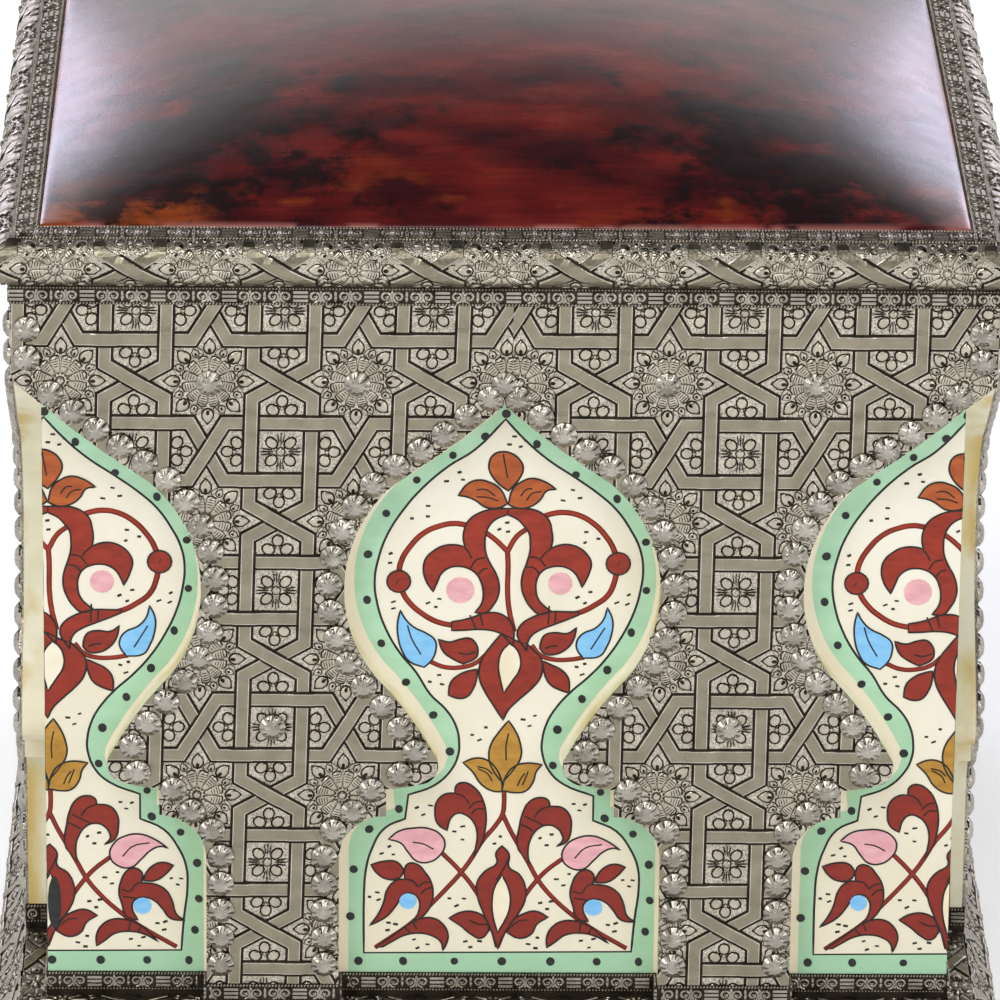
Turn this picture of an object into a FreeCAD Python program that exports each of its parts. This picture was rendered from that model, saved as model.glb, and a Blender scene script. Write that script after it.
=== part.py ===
import FreeCAD, Part
import math
import os
from FreeCAD import Vector

# A square Moroccan box stool: a painted core box inside fretted, metal-clad boards, a flared
# plinth below, and above it a framed, leather-cushioned lid hinged along the back.
# Millimetres, +Z up, front towards -Y, origin on the floor under the middle of the stool.

# Box
WALL_HALF = 216.0        # middle of the stool to the outer face of the metal
WALL_HEIGHT = 349.0      # top of the plinth to the underside of the lid
CORE_T = 12.0            # thickness of the painted core boards
RECESS = 12.5            # depth of the painted niches behind the metal face
SHEET_T = 0.8            # thickness of the embossed sheet
BATTEN = 15.0            # square section of the inner corner battens
FLOOR_T = 8.0            # thickness of the bottom panel

# Arched niches; the outline is given from the middle line and from the top of the plinth
ARCH_HALF = 72.0         # half width at the foot
ARCH_RISE = 293.0        # plinth to the point of the arch
FLANK_SLOPE_SHARE = 0.8  # rise of the flank for each unit outwards, where it runs on past the point
FOOT_SHARE = (1.0, 0.0)
POINT_SHARE = (0.0, 1.0)
FLANK_SHARES = ((0.340, 0.930), (0.665, 0.873))
BELLY_SHARES = ((0.966, 0.728), (0.775, 0.555))
THROAT_SHARES = ((0.510, 0.470), (0.392, 0.418))
LIP_SHARES = ((0.407, 0.392), (0.479, 0.379))
STEP_SHARES = ((0.708, 0.370), (0.708, 0.326))
SHOULDER_SHARES = ((0.917, 0.304), (1.0, 0.258))

# Scrollwork bands
BAND_T = 0.7             # thickness of the band strip
TOP_BAND_H = 9.5         # band under the lid
FOOT_BAND_H = 12.5       # band along the foot of the walls and niches

# Plinth
PLINTH_H = 42.5
PLINTH_FLARE = 16.0      # how far the foot stands out past the walls
PLINTH_LEDGE = 11.5      # how far the plinth boards reach in under the bottom panel
PLINTH_TOE_H = 8.0       # upright edge at the floor
PLINTH_LIFT = 0.6        # lower edge of the plinth sheet above the floor
FLARE_MID_SHARES = (0.28, 0.50)
BLOCK = 30.0             # legs of the triangular blocks inside the plinth corners

# Dome nails
NAIL_R = 6.0
NAIL_RISE = 4.0
SHANK_R = 0.9
SHANK_L = 5.8            # short enough that nails at a corner do not meet
NAIL_PITCH = 13.2        # distance from nail to nail along an arch
NAIL_MARGIN = 6.6        # arch edge to nail centre
NAIL_FOOT = 18.0         # lowest nail above the plinth
POINT_NAIL_RISE = 10.0   # nail above the point of the centre arch
CORNER_NAIL_IN = 6.8     # upright nails at the corners: distance in from the corner
CORNER_NAIL_RISE = 11.5  # first of them above the point of the corner arch
BOSS_SHIFT = 3.5         # the embossed pattern's middle lies a little to the right
BOSS_FIRST = 68.0        # from there to the first rosettes
BOSS_PITCH = 65.0        # from rosette to rosette
BOSS_RISE = 303.0        # the rosette row that has nails, above the plinth
PIER_BOSS_RISE = 139.0   # the nail in the middle of each pier, above the plinth

# Lid
LID_OVERHANG = 9.5       # how far the nose of the lid stands out past the walls
LID_RAIL_W = 35.5        # width of the mitred rails
LID_NOSE = 10.5          # how far the half round nose stands out from its root
LID_NOSE_H = 20.0        # underside of the lid to the top of the nose
NOSE_LOW_MID_SHARES = (0.72, 0.16)
NOSE_LOW_SHARE = 0.16
NOSE_FULL_SHARE = 0.50
NOSE_HIGH_MID_SHARES = (0.72, 0.86)
BORDER_W = 11.0          # flat band between nose and cushion
BORDER_RISE = 1.7        # how much that band climbs towards the cushion
LID_BOARD_T = 11.5

# Cushion
CUSHION_RISE = 37.6      # crown above the frame
LEATHER_T = 1.6
CUSHION_GAP = 0.3        # cushion to the border band
CUSHION_CORNER_R = 16.0
# Each ring of the cushion: half width, height and pull-in of the sides, as shares
CUSHION_RING_SHARES = (
    (1.000, 0.00, 0.000),
    (0.998, 0.13, 0.002),
    (0.965, 0.42, 0.008),
    (0.860, 0.70, 0.012),
    (0.640, 0.895, 0.010),
    (0.330, 0.985, 0.004),
    (0.120, 1.00, 0.000),
)

# Hinges at the back
HINGE_X = 120.0          # middle of the stool to the middle of each hinge
HINGE_OUT = 3.8          # pin axis behind the metal face of the back wall
KNUCKLE_R = 3.0
KNUCKLE_L = 12.0
KNUCKLE_GAP = 0.3
PIN_R = 1.5
PIN_PLAY = 0.05
PIN_HEAD_R = 2.4
PIN_HEAD_L = 1.0
LEAF_T = 1.2
LEAF_REACH = 24.0        # pin axis to the free edge of each leaf
NOTCH_PLAY = 0.6         # room round the knuckles in the back rail
SCREW_R = 1.4
SCREW_HEAD_R = 2.6
SCREW_L = 8.0
SCREW_REACH = 16.0       # pin axis to the screws
SCREW_SPREAD_SHARE = 0.32

# Worked out from the sizes above, apart from the overrun
OVERRUN = 5.0            # how far cutting shapes run past what they cut
CORE_OUT = WALL_HALF - RECESS
CORE_IN = CORE_OUT - CORE_T
BOARD_OUT = WALL_HALF - SHEET_T
LID_Z = PLINTH_H + WALL_HEIGHT
LID_HALF = WALL_HALF + LID_OVERHANG
RAIL_IN = LID_HALF - LID_RAIL_W
NOSE_ROOT = LID_HALF - LID_NOSE
BORDER_IN = NOSE_ROOT - BORDER_W
NOSE_TOP = LID_Z + LID_NOSE_H
FRAME_TOP = NOSE_TOP - SHEET_T + BORDER_RISE
PLINTH_OUT = WALL_HALF + PLINTH_FLARE
PLINTH_IN = CORE_IN - PLINTH_LEDGE
CORE_FOOT = PLINTH_H - SHEET_T
HINGE_Y = WALL_HALF + HINGE_OUT
HINGE_LENGTH = 3 * KNUCKLE_L + 2 * KNUCKLE_GAP
SIDES = ("front", "right", "back", "left")    # each a quarter turn on from the one before
Z_AXIS = Vector(0, 0, 1)


def save(name, shape):
    shape.exportStep("parts/" + name + ".step")


def turned(shape, quarters):
    copy = shape.copy()
    copy.rotate(Vector(0, 0, 0), Z_AXIS, 90 * quarters)
    return copy


def save_four(stem, front_shape):
    for quarters, side in enumerate(SIDES):
        save(stem + "_" + side, turned(front_shape, quarters))


def on_all_sides(shape):
    return Part.makeCompound([turned(shape, quarters) for quarters in range(len(SIDES))])


def box(low, high):
    size = [b - a for a, b in zip(low, high)]
    return Part.makeBox(*size, Vector(*low))


def arc(start, middle, end):
    return Part.Arc(start, middle, end).toShape()


def line(start, end):
    return Part.LineSegment(start, end).toShape()


def prism(points, direction):
    return Part.Face(Part.makePolygon(points + points[:1])).extrude(direction)


def corner_wedge(top):
    # Everything that belongs to the front, between the two diagonals of the plan
    far = max(PLINTH_OUT, LID_HALF) + OVERRUN
    points = [Vector(0, 0, -OVERRUN), Vector(-far, -far, -OVERRUN), Vector(far, -far, -OVERRUN)]
    return prism(points, Vector(0, 0, top + 2 * OVERRUN))


WEDGE = corner_wedge(FRAME_TOP + CUSHION_RISE)


def mitred(shape):
    return shape.common(WEDGE)


def arch_point(shares, middle=0, hand=1):
    return Vector(middle + hand * ARCH_HALF * shares[0], 0, PLINTH_H + ARCH_RISE * shares[1])


def arch_edges(middle, hand):
    """One flank of an arch, from its point down to the plinth."""
    point, flank_mid, flank = [arch_point(s, middle, hand) for s in (POINT_SHARE,) + FLANK_SHARES]
    belly_mid, belly = [arch_point(s, middle, hand) for s in BELLY_SHARES]
    throat_mid, throat = [arch_point(s, middle, hand) for s in THROAT_SHARES]
    lip_mid, lip = [arch_point(s, middle, hand) for s in LIP_SHARES]
    step_top, step_foot = [arch_point(s, middle, hand) for s in STEP_SHARES]
    shoulder_mid, shoulder = [arch_point(s, middle, hand) for s in SHOULDER_SHARES]
    foot = arch_point(FOOT_SHARE, middle, hand)
    return [
        arc(point, flank_mid, flank),
        arc(flank, belly_mid, belly),
        arc(belly, throat_mid, throat),
        arc(throat, lip_mid, lip),
        line(lip, step_top),
        line(step_top, step_foot),
        arc(step_foot, shoulder_mid, shoulder),
        line(shoulder, foot),
    ]


def arch_cutter():
    """The centre opening, as a solid through the front boards."""
    low = -Vector(0, 0, OVERRUN)
    right_foot = arch_point(FOOT_SHARE)
    left_foot = arch_point(FOOT_SHARE, 0, -1)
    edges = arch_edges(0, 1) + arch_edges(0, -1)
    edges += [line(right_foot, right_foot + low), line(right_foot + low, left_foot + low)]
    edges.append(line(left_foot + low, left_foot))
    return cutter_from(edges)


def corner_cutter(hand):
    """The half opening at one end of the front; its middle line is the edge of the core box."""
    middle = hand * CORE_OUT
    low = -Vector(0, 0, OVERRUN)
    point = arch_point(POINT_SHARE, middle)
    past = RECESS + OVERRUN
    high = Vector(middle + hand * past, 0, point.z + FLANK_SLOPE_SHARE * past)
    foot = arch_point(FOOT_SHARE, middle, -hand)
    outer_foot = Vector(high.x, 0, foot.z) + low
    edges = arch_edges(middle, -hand)
    edges += [line(foot, foot + low), line(foot + low, outer_foot)]
    edges += [line(outer_foot, high), line(high, point)]
    return cutter_from(edges)


def cutter_from(edges):
    wire = Part.Wire(Part.__sortEdges__(edges))
    face = Part.Face(wire)
    face.translate(Vector(0, -WALL_HALF - OVERRUN, 0))
    return face.extrude(Vector(0, RECESS + 2 * OVERRUN, 0))


def fretted(inner, outer, bottom, top):
    """A mitred front layer between two distances from the middle, with its openings cut."""
    slab = mitred(box((-outer, -outer, bottom), (outer, -inner, top)))
    for opening in (arch_cutter(), corner_cutter(1), corner_cutter(-1)):
        slab = slab.cut(opening)
    return slab


def make_core():
    bottom, top = CORE_FOOT, LID_Z
    front = box((-CORE_OUT, -CORE_OUT, bottom), (CORE_OUT, -CORE_IN, top))
    side = box((CORE_IN, -CORE_IN, bottom), (CORE_OUT, CORE_IN, top))
    save("core_board_front", front)
    save("core_board_back", turned(front, 2))
    save("core_board_right", side)
    save("core_board_left", turned(side, 2))
    floor = box((-CORE_IN, -CORE_IN, bottom), (CORE_IN, CORE_IN, bottom + FLOOR_T))
    save("bottom_panel", floor)
    batten = box((CORE_IN - BATTEN, -CORE_IN, bottom + FLOOR_T), (CORE_IN, BATTEN - CORE_IN, top))
    save("corner_battens", on_all_sides(batten))


def make_cladding():
    save_four("fretted_board", fretted(CORE_OUT, BOARD_OUT, PLINTH_H, LID_Z))
    save_four("wall_sheet", fretted(BOARD_OUT, WALL_HALF, PLINTH_H, LID_Z))


def top_band():
    outer = WALL_HALF + BAND_T
    return mitred(box((-outer, -outer, LID_Z - TOP_BAND_H), (outer, -WALL_HALF, LID_Z)))


def make_top_bands():
    for quarters, side in enumerate(SIDES):
        band = turned(top_band(), quarters)
        if side == "back":
            for hand in (-1, 1):
                band = band.cut(hinge_slot(hand))
        save("top_band_" + side, band)


def hinge_slot(hand):
    half = HINGE_LENGTH / 2 + NOTCH_PLAY
    low = (hand * HINGE_X - half, WALL_HALF, LID_Z - LEAF_REACH - NOTCH_PLAY)
    high = (hand * HINGE_X + half, WALL_HALF + OVERRUN, LID_Z + OVERRUN)
    return box(low, high)


def make_foot_bands():
    """The strip runs over the piers, round their sides and across the backs of the niches."""
    low, high = PLINTH_H, PLINTH_H + FOOT_BAND_H
    pier_in = ARCH_HALF
    pier_out = CORE_OUT - ARCH_HALF
    outer = WALL_HALF + BAND_T
    niche = box((-pier_in, -CORE_OUT - BAND_T, low), (pier_in, -CORE_OUT, high))
    pieces = [niche]
    for hand in (-1, 1):
        xs = sorted((hand * (pier_in - BAND_T), hand * (pier_out + BAND_T)))
        pieces.append(box((xs[0], -outer, low), (xs[1], -WALL_HALF, high)))
        for side_out, side_in in ((pier_in - BAND_T, pier_in), (pier_out, pier_out + BAND_T)):
            xs = sorted((hand * side_out, hand * side_in))
            pieces.append(box((xs[0], -outer, low), (xs[1], -CORE_OUT, high)))
        xs = sorted((hand * pier_out, hand * (CORE_OUT + BAND_T)))
        pieces.append(mitred(box((xs[0], -CORE_OUT - BAND_T, low), (xs[1], -CORE_OUT, high))))
    save_four("foot_band", pieces[0].multiFuse(pieces[1:]).removeSplitter())


def plinth_profile(inset, top):
    """Outer face of the plinth as a closed section, drawn in the plane of Y and Z."""
    out_top = WALL_HALF - inset
    out_foot = PLINTH_OUT - inset
    mid_out = out_top + (out_foot - out_top) * FLARE_MID_SHARES[0]
    mid_z = PLINTH_TOE_H + (top - PLINTH_TOE_H) * FLARE_MID_SHARES[1]
    a = Vector(0, -PLINTH_IN, 0)
    b = Vector(0, -PLINTH_IN, top)
    c = Vector(0, -out_top, top)
    d = Vector(0, -mid_out, mid_z)
    e = Vector(0, -out_foot, PLINTH_TOE_H)
    f = Vector(0, -out_foot, 0)
    return Part.Face(Part.Wire([line(a, b), line(b, c), arc(c, d, e), line(e, f), line(f, a)]))


def bar_along_front(face, half_length):
    bar = face.copy()
    bar.translate(Vector(-half_length, 0, 0))
    return mitred(bar.extrude(Vector(2 * half_length, 0, 0)))


def make_plinth():
    wood = bar_along_front(plinth_profile(SHEET_T, PLINTH_H - SHEET_T), PLINTH_OUT)
    full = bar_along_front(plinth_profile(0, PLINTH_H), PLINTH_OUT)
    reach = PLINTH_OUT + OVERRUN
    outside = box((-reach, -reach, PLINTH_LIFT), (reach, -CORE_OUT, PLINTH_H))
    save_four("plinth_board", wood)
    save_four("plinth_sheet", full.cut(wood).common(outside))
    block_points = [
        Vector(PLINTH_IN, -PLINTH_IN, 0),
        Vector(PLINTH_IN, -PLINTH_IN + BLOCK, 0),
        Vector(PLINTH_IN - BLOCK, -PLINTH_IN, 0),
    ]
    block = prism(block_points, Vector(0, 0, CORE_FOOT))
    save("plinth_blocks", on_all_sides(block))


def offset_path(edges):
    """Points beside an arch edge, NAIL_MARGIN into the metal, clear of every part of the edge."""
    step = NAIL_PITCH / 40
    dense = []
    for edge in edges:
        count = max(2, int(edge.Length / step))
        dense += edge.discretize(count)
    path = []
    for before, after in zip(dense, dense[1:]):
        run = after.sub(before)
        if run.Length < step * 0.01:
            continue
        across = Vector(run.z, 0, -run.x)
        across.normalize()
        path.append((before, across))
    return dense, path


def nails_along(middle, hand):
    """Nail places down one flank, evenly spaced, each NAIL_MARGIN from the nearest edge."""
    dense, path = offset_path(arch_edges(middle, hand))
    places = []
    for point, across in path:
        place = point + across * (-hand * NAIL_MARGIN)
        if min(place.distanceToPoint(other) for other in dense) < NAIL_MARGIN * 0.985:
            continue
        if place.z < PLINTH_H + NAIL_FOOT:
            continue
        if abs(place.x) > WALL_HALF - NAIL_R or (middle == 0 and hand * place.x < NAIL_R):
            continue
        if all(place.distanceToPoint(other) >= NAIL_PITCH * 0.98 for other in places):
            places.append(place)
    return places


def nail_places():
    places = [Vector(0, 0, PLINTH_H + ARCH_RISE + POINT_NAIL_RISE)]
    corner_point = PLINTH_H + ARCH_RISE + FLANK_SLOPE_SHARE * RECESS
    corner_x = WALL_HALF - CORNER_NAIL_IN
    pier_x = CORE_OUT / 2
    for hand in (-1, 1):
        places += nails_along(0, hand)
        places += nails_along(-hand * CORE_OUT, hand)
        for index in range(2):
            rise = CORNER_NAIL_RISE + index * NAIL_PITCH
            places.append(Vector(hand * corner_x, 0, corner_point + rise))
        for reach in (BOSS_FIRST, BOSS_FIRST + BOSS_PITCH):
            places.append(Vector(BOSS_SHIFT + hand * reach, 0, PLINTH_H + BOSS_RISE))
        places.append(Vector(hand * pier_x, 0, PLINTH_H + PIER_BOSS_RISE))
    return places


def dome_nail():
    ball_r = (NAIL_R ** 2 + NAIL_RISE ** 2) / (2 * NAIL_RISE)
    centre_y = -WALL_HALF - NAIL_RISE + ball_r
    half_angle = math.asin(NAIL_R / ball_r) / 2
    top = Vector(0, -WALL_HALF - NAIL_RISE, 0)
    middle = Vector(ball_r * math.sin(half_angle), centre_y - ball_r * math.cos(half_angle), 0)
    rim = Vector(NAIL_R, -WALL_HALF, 0)
    root = Vector(0, -WALL_HALF, 0)
    face = Part.Face(Part.Wire([arc(top, middle, rim), line(rim, root), line(root, top)]))
    dome = face.revolve(Vector(0, 0, 0), Vector(0, 1, 0), 360)
    shank = Part.makeCylinder(SHANK_R, SHANK_L, root, Vector(0, 1, 0))
    return dome.fuse(shank)


def make_nails():
    nail = dome_nail()
    places = nail_places()
    print("nails on each side:", len(places))
    copies = []
    for place in places:
        copy = nail.copy()
        copy.translate(place)
        copies.append(copy)
    save_four("dome_nails", Part.makeCompound(copies))


def nose_profile(inset):
    """Section of a lid rail: flat below, half round nose outside, low slope up to the cushion."""
    low = Vector(0, -(NOSE_ROOT + LID_NOSE * NOSE_LOW_SHARE - inset), LID_Z)
    low_mid = Vector(
        0,
        -(NOSE_ROOT + LID_NOSE * NOSE_LOW_MID_SHARES[0] - inset),
        LID_Z + LID_NOSE_H * NOSE_LOW_MID_SHARES[1],
    )
    full = Vector(0, -(LID_HALF - inset), LID_Z + LID_NOSE_H * NOSE_FULL_SHARE)
    high_mid = Vector(
        0,
        -(NOSE_ROOT + LID_NOSE * NOSE_HIGH_MID_SHARES[0] - inset),
        LID_Z + LID_NOSE_H * NOSE_HIGH_MID_SHARES[1] - inset / 2,
    )
    root = Vector(0, -NOSE_ROOT, NOSE_TOP - inset)
    return [low, low_mid, full, high_mid, root]


def rail_face(inset, inner):
    low, low_mid, full, high_mid, root = nose_profile(inset)
    edges = [arc(low, low_mid, full), arc(full, high_mid, root)]
    if inner < NOSE_ROOT:
        points = [root, Vector(0, -BORDER_IN, FRAME_TOP), Vector(0, -inner, FRAME_TOP)]
    else:
        points = [root]
    points.append(Vector(0, -inner, LID_Z))
    points.append(low)
    edges += [line(a, b) for a, b in zip(points, points[1:])]
    return Part.Face(Part.Wire(edges))


def hinge_groove(hand):
    half = HINGE_LENGTH / 2 + PIN_HEAD_L + NOTCH_PLAY
    start = Vector(hand * HINGE_X - half, HINGE_Y, LID_Z)
    groove = Part.makeCylinder(KNUCKLE_R + NOTCH_PLAY, 2 * half, start, Vector(1, 0, 0))
    leaf_half = HINGE_LENGTH / 2
    low = (hand * HINGE_X - leaf_half, HINGE_Y - LEAF_REACH, LID_Z - OVERRUN)
    high = (hand * HINGE_X + leaf_half, HINGE_Y, LID_Z + LEAF_T)
    return groove.fuse(box(low, high))


def make_lid_frame():
    rail = bar_along_front(rail_face(SHEET_T, RAIL_IN), LID_HALF)
    skin = bar_along_front(rail_face(0, NOSE_ROOT), LID_HALF).cut(rail)
    for quarters, side in enumerate(SIDES):
        side_rail, side_skin = turned(rail, quarters), turned(skin, quarters)
        if side == "back":
            for hand in (-1, 1):
                side_rail = side_rail.cut(hinge_groove(hand))
                side_skin = side_skin.cut(hinge_groove(hand))
        save("lid_rail_" + side, side_rail)
        save("nose_sheet_" + side, side_skin)
    low, high = NOSE_TOP - SHEET_T, FRAME_TOP
    points = [
        Vector(0, -NOSE_ROOT, low),
        Vector(0, -BORDER_IN, high),
        Vector(0, -BORDER_IN, high + SHEET_T),
        Vector(0, -NOSE_ROOT, low + SHEET_T),
    ]
    border_face = Part.Face(Part.makePolygon(points + points[:1]))
    save_four("border_band", bar_along_front(border_face, NOSE_ROOT))
    board = box((-RAIL_IN, -RAIL_IN, FRAME_TOP - LID_BOARD_T), (RAIL_IN, RAIL_IN, FRAME_TOP))
    save("lid_board", board)


def cushion_ring(half, height, pull, corner_r):
    """A rounded square whose four sides are drawn in by the pull."""
    diag = corner_r * (1 - math.sqrt(0.5))
    run = half - corner_r
    edges = []
    for quarter in range(4):
        corner_start = Vector(half, run, height)
        corner_mid = Vector(half - diag, half - diag, height)
        corner_end = Vector(run, half, height)
        side_start = Vector(half, -run, height)
        side_mid = Vector(half - pull, 0, height)
        side = line(side_start, corner_start)
        if pull > 0:
            side = arc(side_start, side_mid, corner_start)
        for edge in (side, arc(corner_start, corner_mid, corner_end)):
            edges.append(turned(edge, quarter))
    return Part.Wire(edges)


def cushion(half, rise):
    rings = []
    for half_share, rise_share, pull_share in CUSHION_RING_SHARES:
        ring_half = half * half_share
        corner_r = min(CUSHION_CORNER_R + half * (1 - half_share) / 2, ring_half / 2)
        height = FRAME_TOP + rise * rise_share
        rings.append(cushion_ring(ring_half, height, half * pull_share, corner_r))
    return Part.makeLoft(rings, True, False)


def make_cushion():
    half = BORDER_IN - CUSHION_GAP
    outside = cushion(half, CUSHION_RISE)
    inside = cushion(half - LEATHER_T, CUSHION_RISE - LEATHER_T)
    save("seat_padding", inside)
    save("seat_leather", outside.cut(inside))


def knuckle(x_low, length):
    start = Vector(x_low, HINGE_Y, LID_Z)
    return Part.makeCylinder(KNUCKLE_R, length, start, Vector(1, 0, 0))


def pin_bore(x_low, length):
    start = Vector(x_low - OVERRUN, HINGE_Y, LID_Z)
    return Part.makeCylinder(PIN_R + PIN_PLAY, length + 2 * OVERRUN, start, Vector(1, 0, 0))


def screw(place, inward):
    """Flat headed screw; the place is the middle of its head's face."""
    cone = Part.makeCone(SCREW_HEAD_R, SCREW_R, LEAF_T, place, inward)
    return cone.fuse(Part.makeCylinder(SCREW_R, SCREW_L, place, inward))


def screw_row(centre_x, y, z, inward):
    spread = HINGE_LENGTH * SCREW_SPREAD_SHARE
    return [screw(Vector(centre_x + offset, y, z), inward) for offset in (-spread, 0, spread)]


def make_hinges():
    box_leaves, lid_leaves, pins, box_screws, lid_screws = [], [], [], [], []
    for hand in (-1, 1):
        middle = hand * HINGE_X
        low = middle - HINGE_LENGTH / 2
        high = middle + HINGE_LENGTH / 2
        bore = pin_bore(low, HINGE_LENGTH)
        mid_low = low + KNUCKLE_L + KNUCKLE_GAP
        mid_room = Part.makeCylinder(
            KNUCKLE_R + NOTCH_PLAY,
            KNUCKLE_L + 2 * KNUCKLE_GAP,
            Vector(low + KNUCKLE_L, HINGE_Y, LID_Z),
            Vector(1, 0, 0),
        )

        leaf = box((low, WALL_HALF, LID_Z - LEAF_REACH), (high, WALL_HALF + LEAF_T, LID_Z))
        leaf = leaf.cut(mid_room)
        leaf = leaf.multiFuse([knuckle(low, KNUCKLE_L), knuckle(high - KNUCKLE_L, KNUCKLE_L)])
        screws = screw_row(middle, WALL_HALF + LEAF_T, LID_Z - SCREW_REACH, Vector(0, -1, 0))
        box_leaves.append(leaf.cut(bore).cut(Part.makeCompound(screws)))
        box_screws += screws

        leaf = box((low, HINGE_Y - LEAF_REACH, LID_Z), (high, HINGE_Y, LID_Z + LEAF_T))
        for end_low in (low, high - KNUCKLE_L):
            room = Part.makeCylinder(
                KNUCKLE_R + NOTCH_PLAY,
                KNUCKLE_L + 2 * KNUCKLE_GAP,
                Vector(end_low - KNUCKLE_GAP, HINGE_Y, LID_Z),
                Vector(1, 0, 0),
            )
            leaf = leaf.cut(room)
        leaf = leaf.fuse(knuckle(mid_low, KNUCKLE_L))
        screws = screw_row(middle, HINGE_Y - SCREW_REACH, LID_Z, Vector(0, 0, 1))
        lid_leaves.append(leaf.cut(bore).cut(Part.makeCompound(screws)))
        lid_screws += screws

        pin = Part.makeCylinder(PIN_R, HINGE_LENGTH, Vector(low, HINGE_Y, LID_Z), Vector(1, 0, 0))
        for head_low in (low - PIN_HEAD_L, high):
            start = Vector(head_low, HINGE_Y, LID_Z)
            pin = pin.fuse(Part.makeCylinder(PIN_HEAD_R, PIN_HEAD_L, start, Vector(1, 0, 0)))
        pins.append(pin)
    save("hinge_leaves_box", Part.makeCompound(box_leaves))
    save("hinge_leaves_lid", Part.makeCompound(lid_leaves))
    save("hinge_pins", Part.makeCompound(pins))
    save("hinge_screws_box", Part.makeCompound(box_screws))
    save("hinge_screws_lid", Part.makeCompound(lid_screws))


def main():
    os.makedirs("parts", exist_ok=True)
    make_core()
    make_cladding()
    make_top_bands()
    make_foot_bands()
    make_plinth()
    make_nails()
    make_lid_frame()
    make_cushion()
    make_hinges()


main()
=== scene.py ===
"""The looks of a Moroccan kursi stool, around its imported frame. Lengths are millimetres until a piece is placed."""
import math
import random

import bmesh
import bpy
from mathutils import Matrix, Vector
from mathutils.bvhtree import BVHTree


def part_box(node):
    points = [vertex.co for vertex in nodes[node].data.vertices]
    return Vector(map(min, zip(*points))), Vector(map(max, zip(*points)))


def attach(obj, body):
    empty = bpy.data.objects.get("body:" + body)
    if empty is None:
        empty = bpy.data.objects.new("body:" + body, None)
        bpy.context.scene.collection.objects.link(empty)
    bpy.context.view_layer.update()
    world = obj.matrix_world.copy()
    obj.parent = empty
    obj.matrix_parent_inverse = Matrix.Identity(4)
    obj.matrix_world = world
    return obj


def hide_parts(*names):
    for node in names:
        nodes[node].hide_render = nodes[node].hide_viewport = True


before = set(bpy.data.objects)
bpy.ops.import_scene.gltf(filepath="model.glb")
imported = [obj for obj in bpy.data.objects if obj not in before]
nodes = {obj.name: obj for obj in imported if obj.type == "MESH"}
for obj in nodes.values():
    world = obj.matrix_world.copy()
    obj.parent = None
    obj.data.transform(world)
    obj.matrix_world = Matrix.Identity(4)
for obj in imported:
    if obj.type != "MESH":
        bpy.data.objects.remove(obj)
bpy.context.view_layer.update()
dice = random.Random(7)

MM = 0.001
SIDES = ("front", "right", "back", "left")
WALL = 216.0          # middle of the stool to the face of the embossed sheet
CORE = 203.5          # to the face of the painted core boards
BAND = 216.7          # to the face of the scrollwork bands
PLINTH_TOP = 42.5
LID_HALF = 225.5
NOSE_ROOT = 215.0
ARCH_HALF = 72.0
PIER_OUT = CORE - ARCH_HALF
HINGES = ((-140.5, -99.5), (99.5, 140.5))    # x, the two hinges and a little more
ARCH_RISE = 293.0


# Small tools

def linear(code):
    """An sRGB hex value as the linear colour that Blender mixes."""
    parts = [int(code[i:i + 2], 16) / 255 for i in (1, 3, 5)]
    return [p / 12.92 if p <= 0.04045 else ((p + 0.055) / 1.055) ** 2.4 for p in parts] + [1.0]


def feed(tree, node, inputs):
    """Gives a node its values and its links."""
    for socket, value in inputs.items():
        if isinstance(value, bpy.types.NodeSocket):
            tree.links.new(value, node.inputs[socket])
        else:
            node.inputs[socket].default_value = value


def add(tree, kind, inputs=None, **settings):
    """Adds one node with its settings, its values and its links."""
    node = tree.nodes.new("ShaderNode" + kind)
    for name, value in settings.items():
        setattr(node, name, value)
    feed(tree, node, inputs or {})
    return node


def per(size):
    """The texture scale, on Object coordinates in metres, whose features are about that many millimetres."""
    return 1 / (size * MM)


def fresh():
    bpy.ops.object.select_all(action="DESELECT")


def only(obj):
    fresh()
    obj.select_set(True)
    bpy.context.view_layer.objects.active = obj


def lift():
    """Takes the piece on the bench off the scene and keeps its mesh as a pattern."""
    obj = bpy.context.object
    mesh = obj.data
    bpy.data.objects.remove(obj)
    return mesh


def edit():
    bpy.ops.object.mode_set(mode="EDIT")
    bpy.ops.mesh.select_all(action="SELECT")


def close_up():
    """Turns every face outwards and leaves edit mode."""
    bpy.ops.mesh.select_all(action="SELECT")
    bpy.ops.mesh.normals_make_consistent(inside=False)
    bpy.ops.object.mode_set(mode="OBJECT")


def settled(bm, name):
    mesh = bpy.data.meshes.new(name)
    bm.to_mesh(mesh)
    bm.free()
    return mesh


def cut(bm, place, normal, clear=True):
    """Cuts by a plane; what lies on its normal's side goes, unless clear is off."""
    bmesh.ops.bisect_plane(bm, geom=bm.verts[:] + bm.edges[:] + bm.faces[:], plane_co=place,
                           plane_no=normal, clear_outer=clear)


def piece(name, mesh, materials):
    """A new object at the origin with this mesh."""
    obj = bpy.data.objects.new(name, mesh)
    bpy.context.scene.collection.objects.link(obj)
    for number, material in enumerate(materials):
        if number < len(mesh.materials):
            mesh.materials[number] = material
        else:
            mesh.materials.append(material)
    return obj


def gather(name, copies):
    """One mesh out of placed copies of pattern meshes: (mesh, matrix, material number)."""
    bm = bmesh.new()
    for mesh, matrix, number in copies:
        copy = mesh.copy()
        copy.transform(matrix)
        if number is not None:
            copy.polygons.foreach_set("material_index", [number] * len(copy.polygons))
        bm.from_mesh(copy)
        bpy.data.meshes.remove(copy)
    return settled(bm, name)


def put(x, y, turn=0.0, wide=1.0, long=1.0, high=1.0, up=0.0):
    """Where a pattern goes on the bench: wide across it, long along its own y, then turned by degrees."""
    return Matrix.Translation((x, y, up)) @ turned(turn) @ Matrix.Diagonal((wide, long, high, 1))


def turned(degrees):
    return Matrix.Rotation(math.radians(degrees), 4, "Z")


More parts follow.
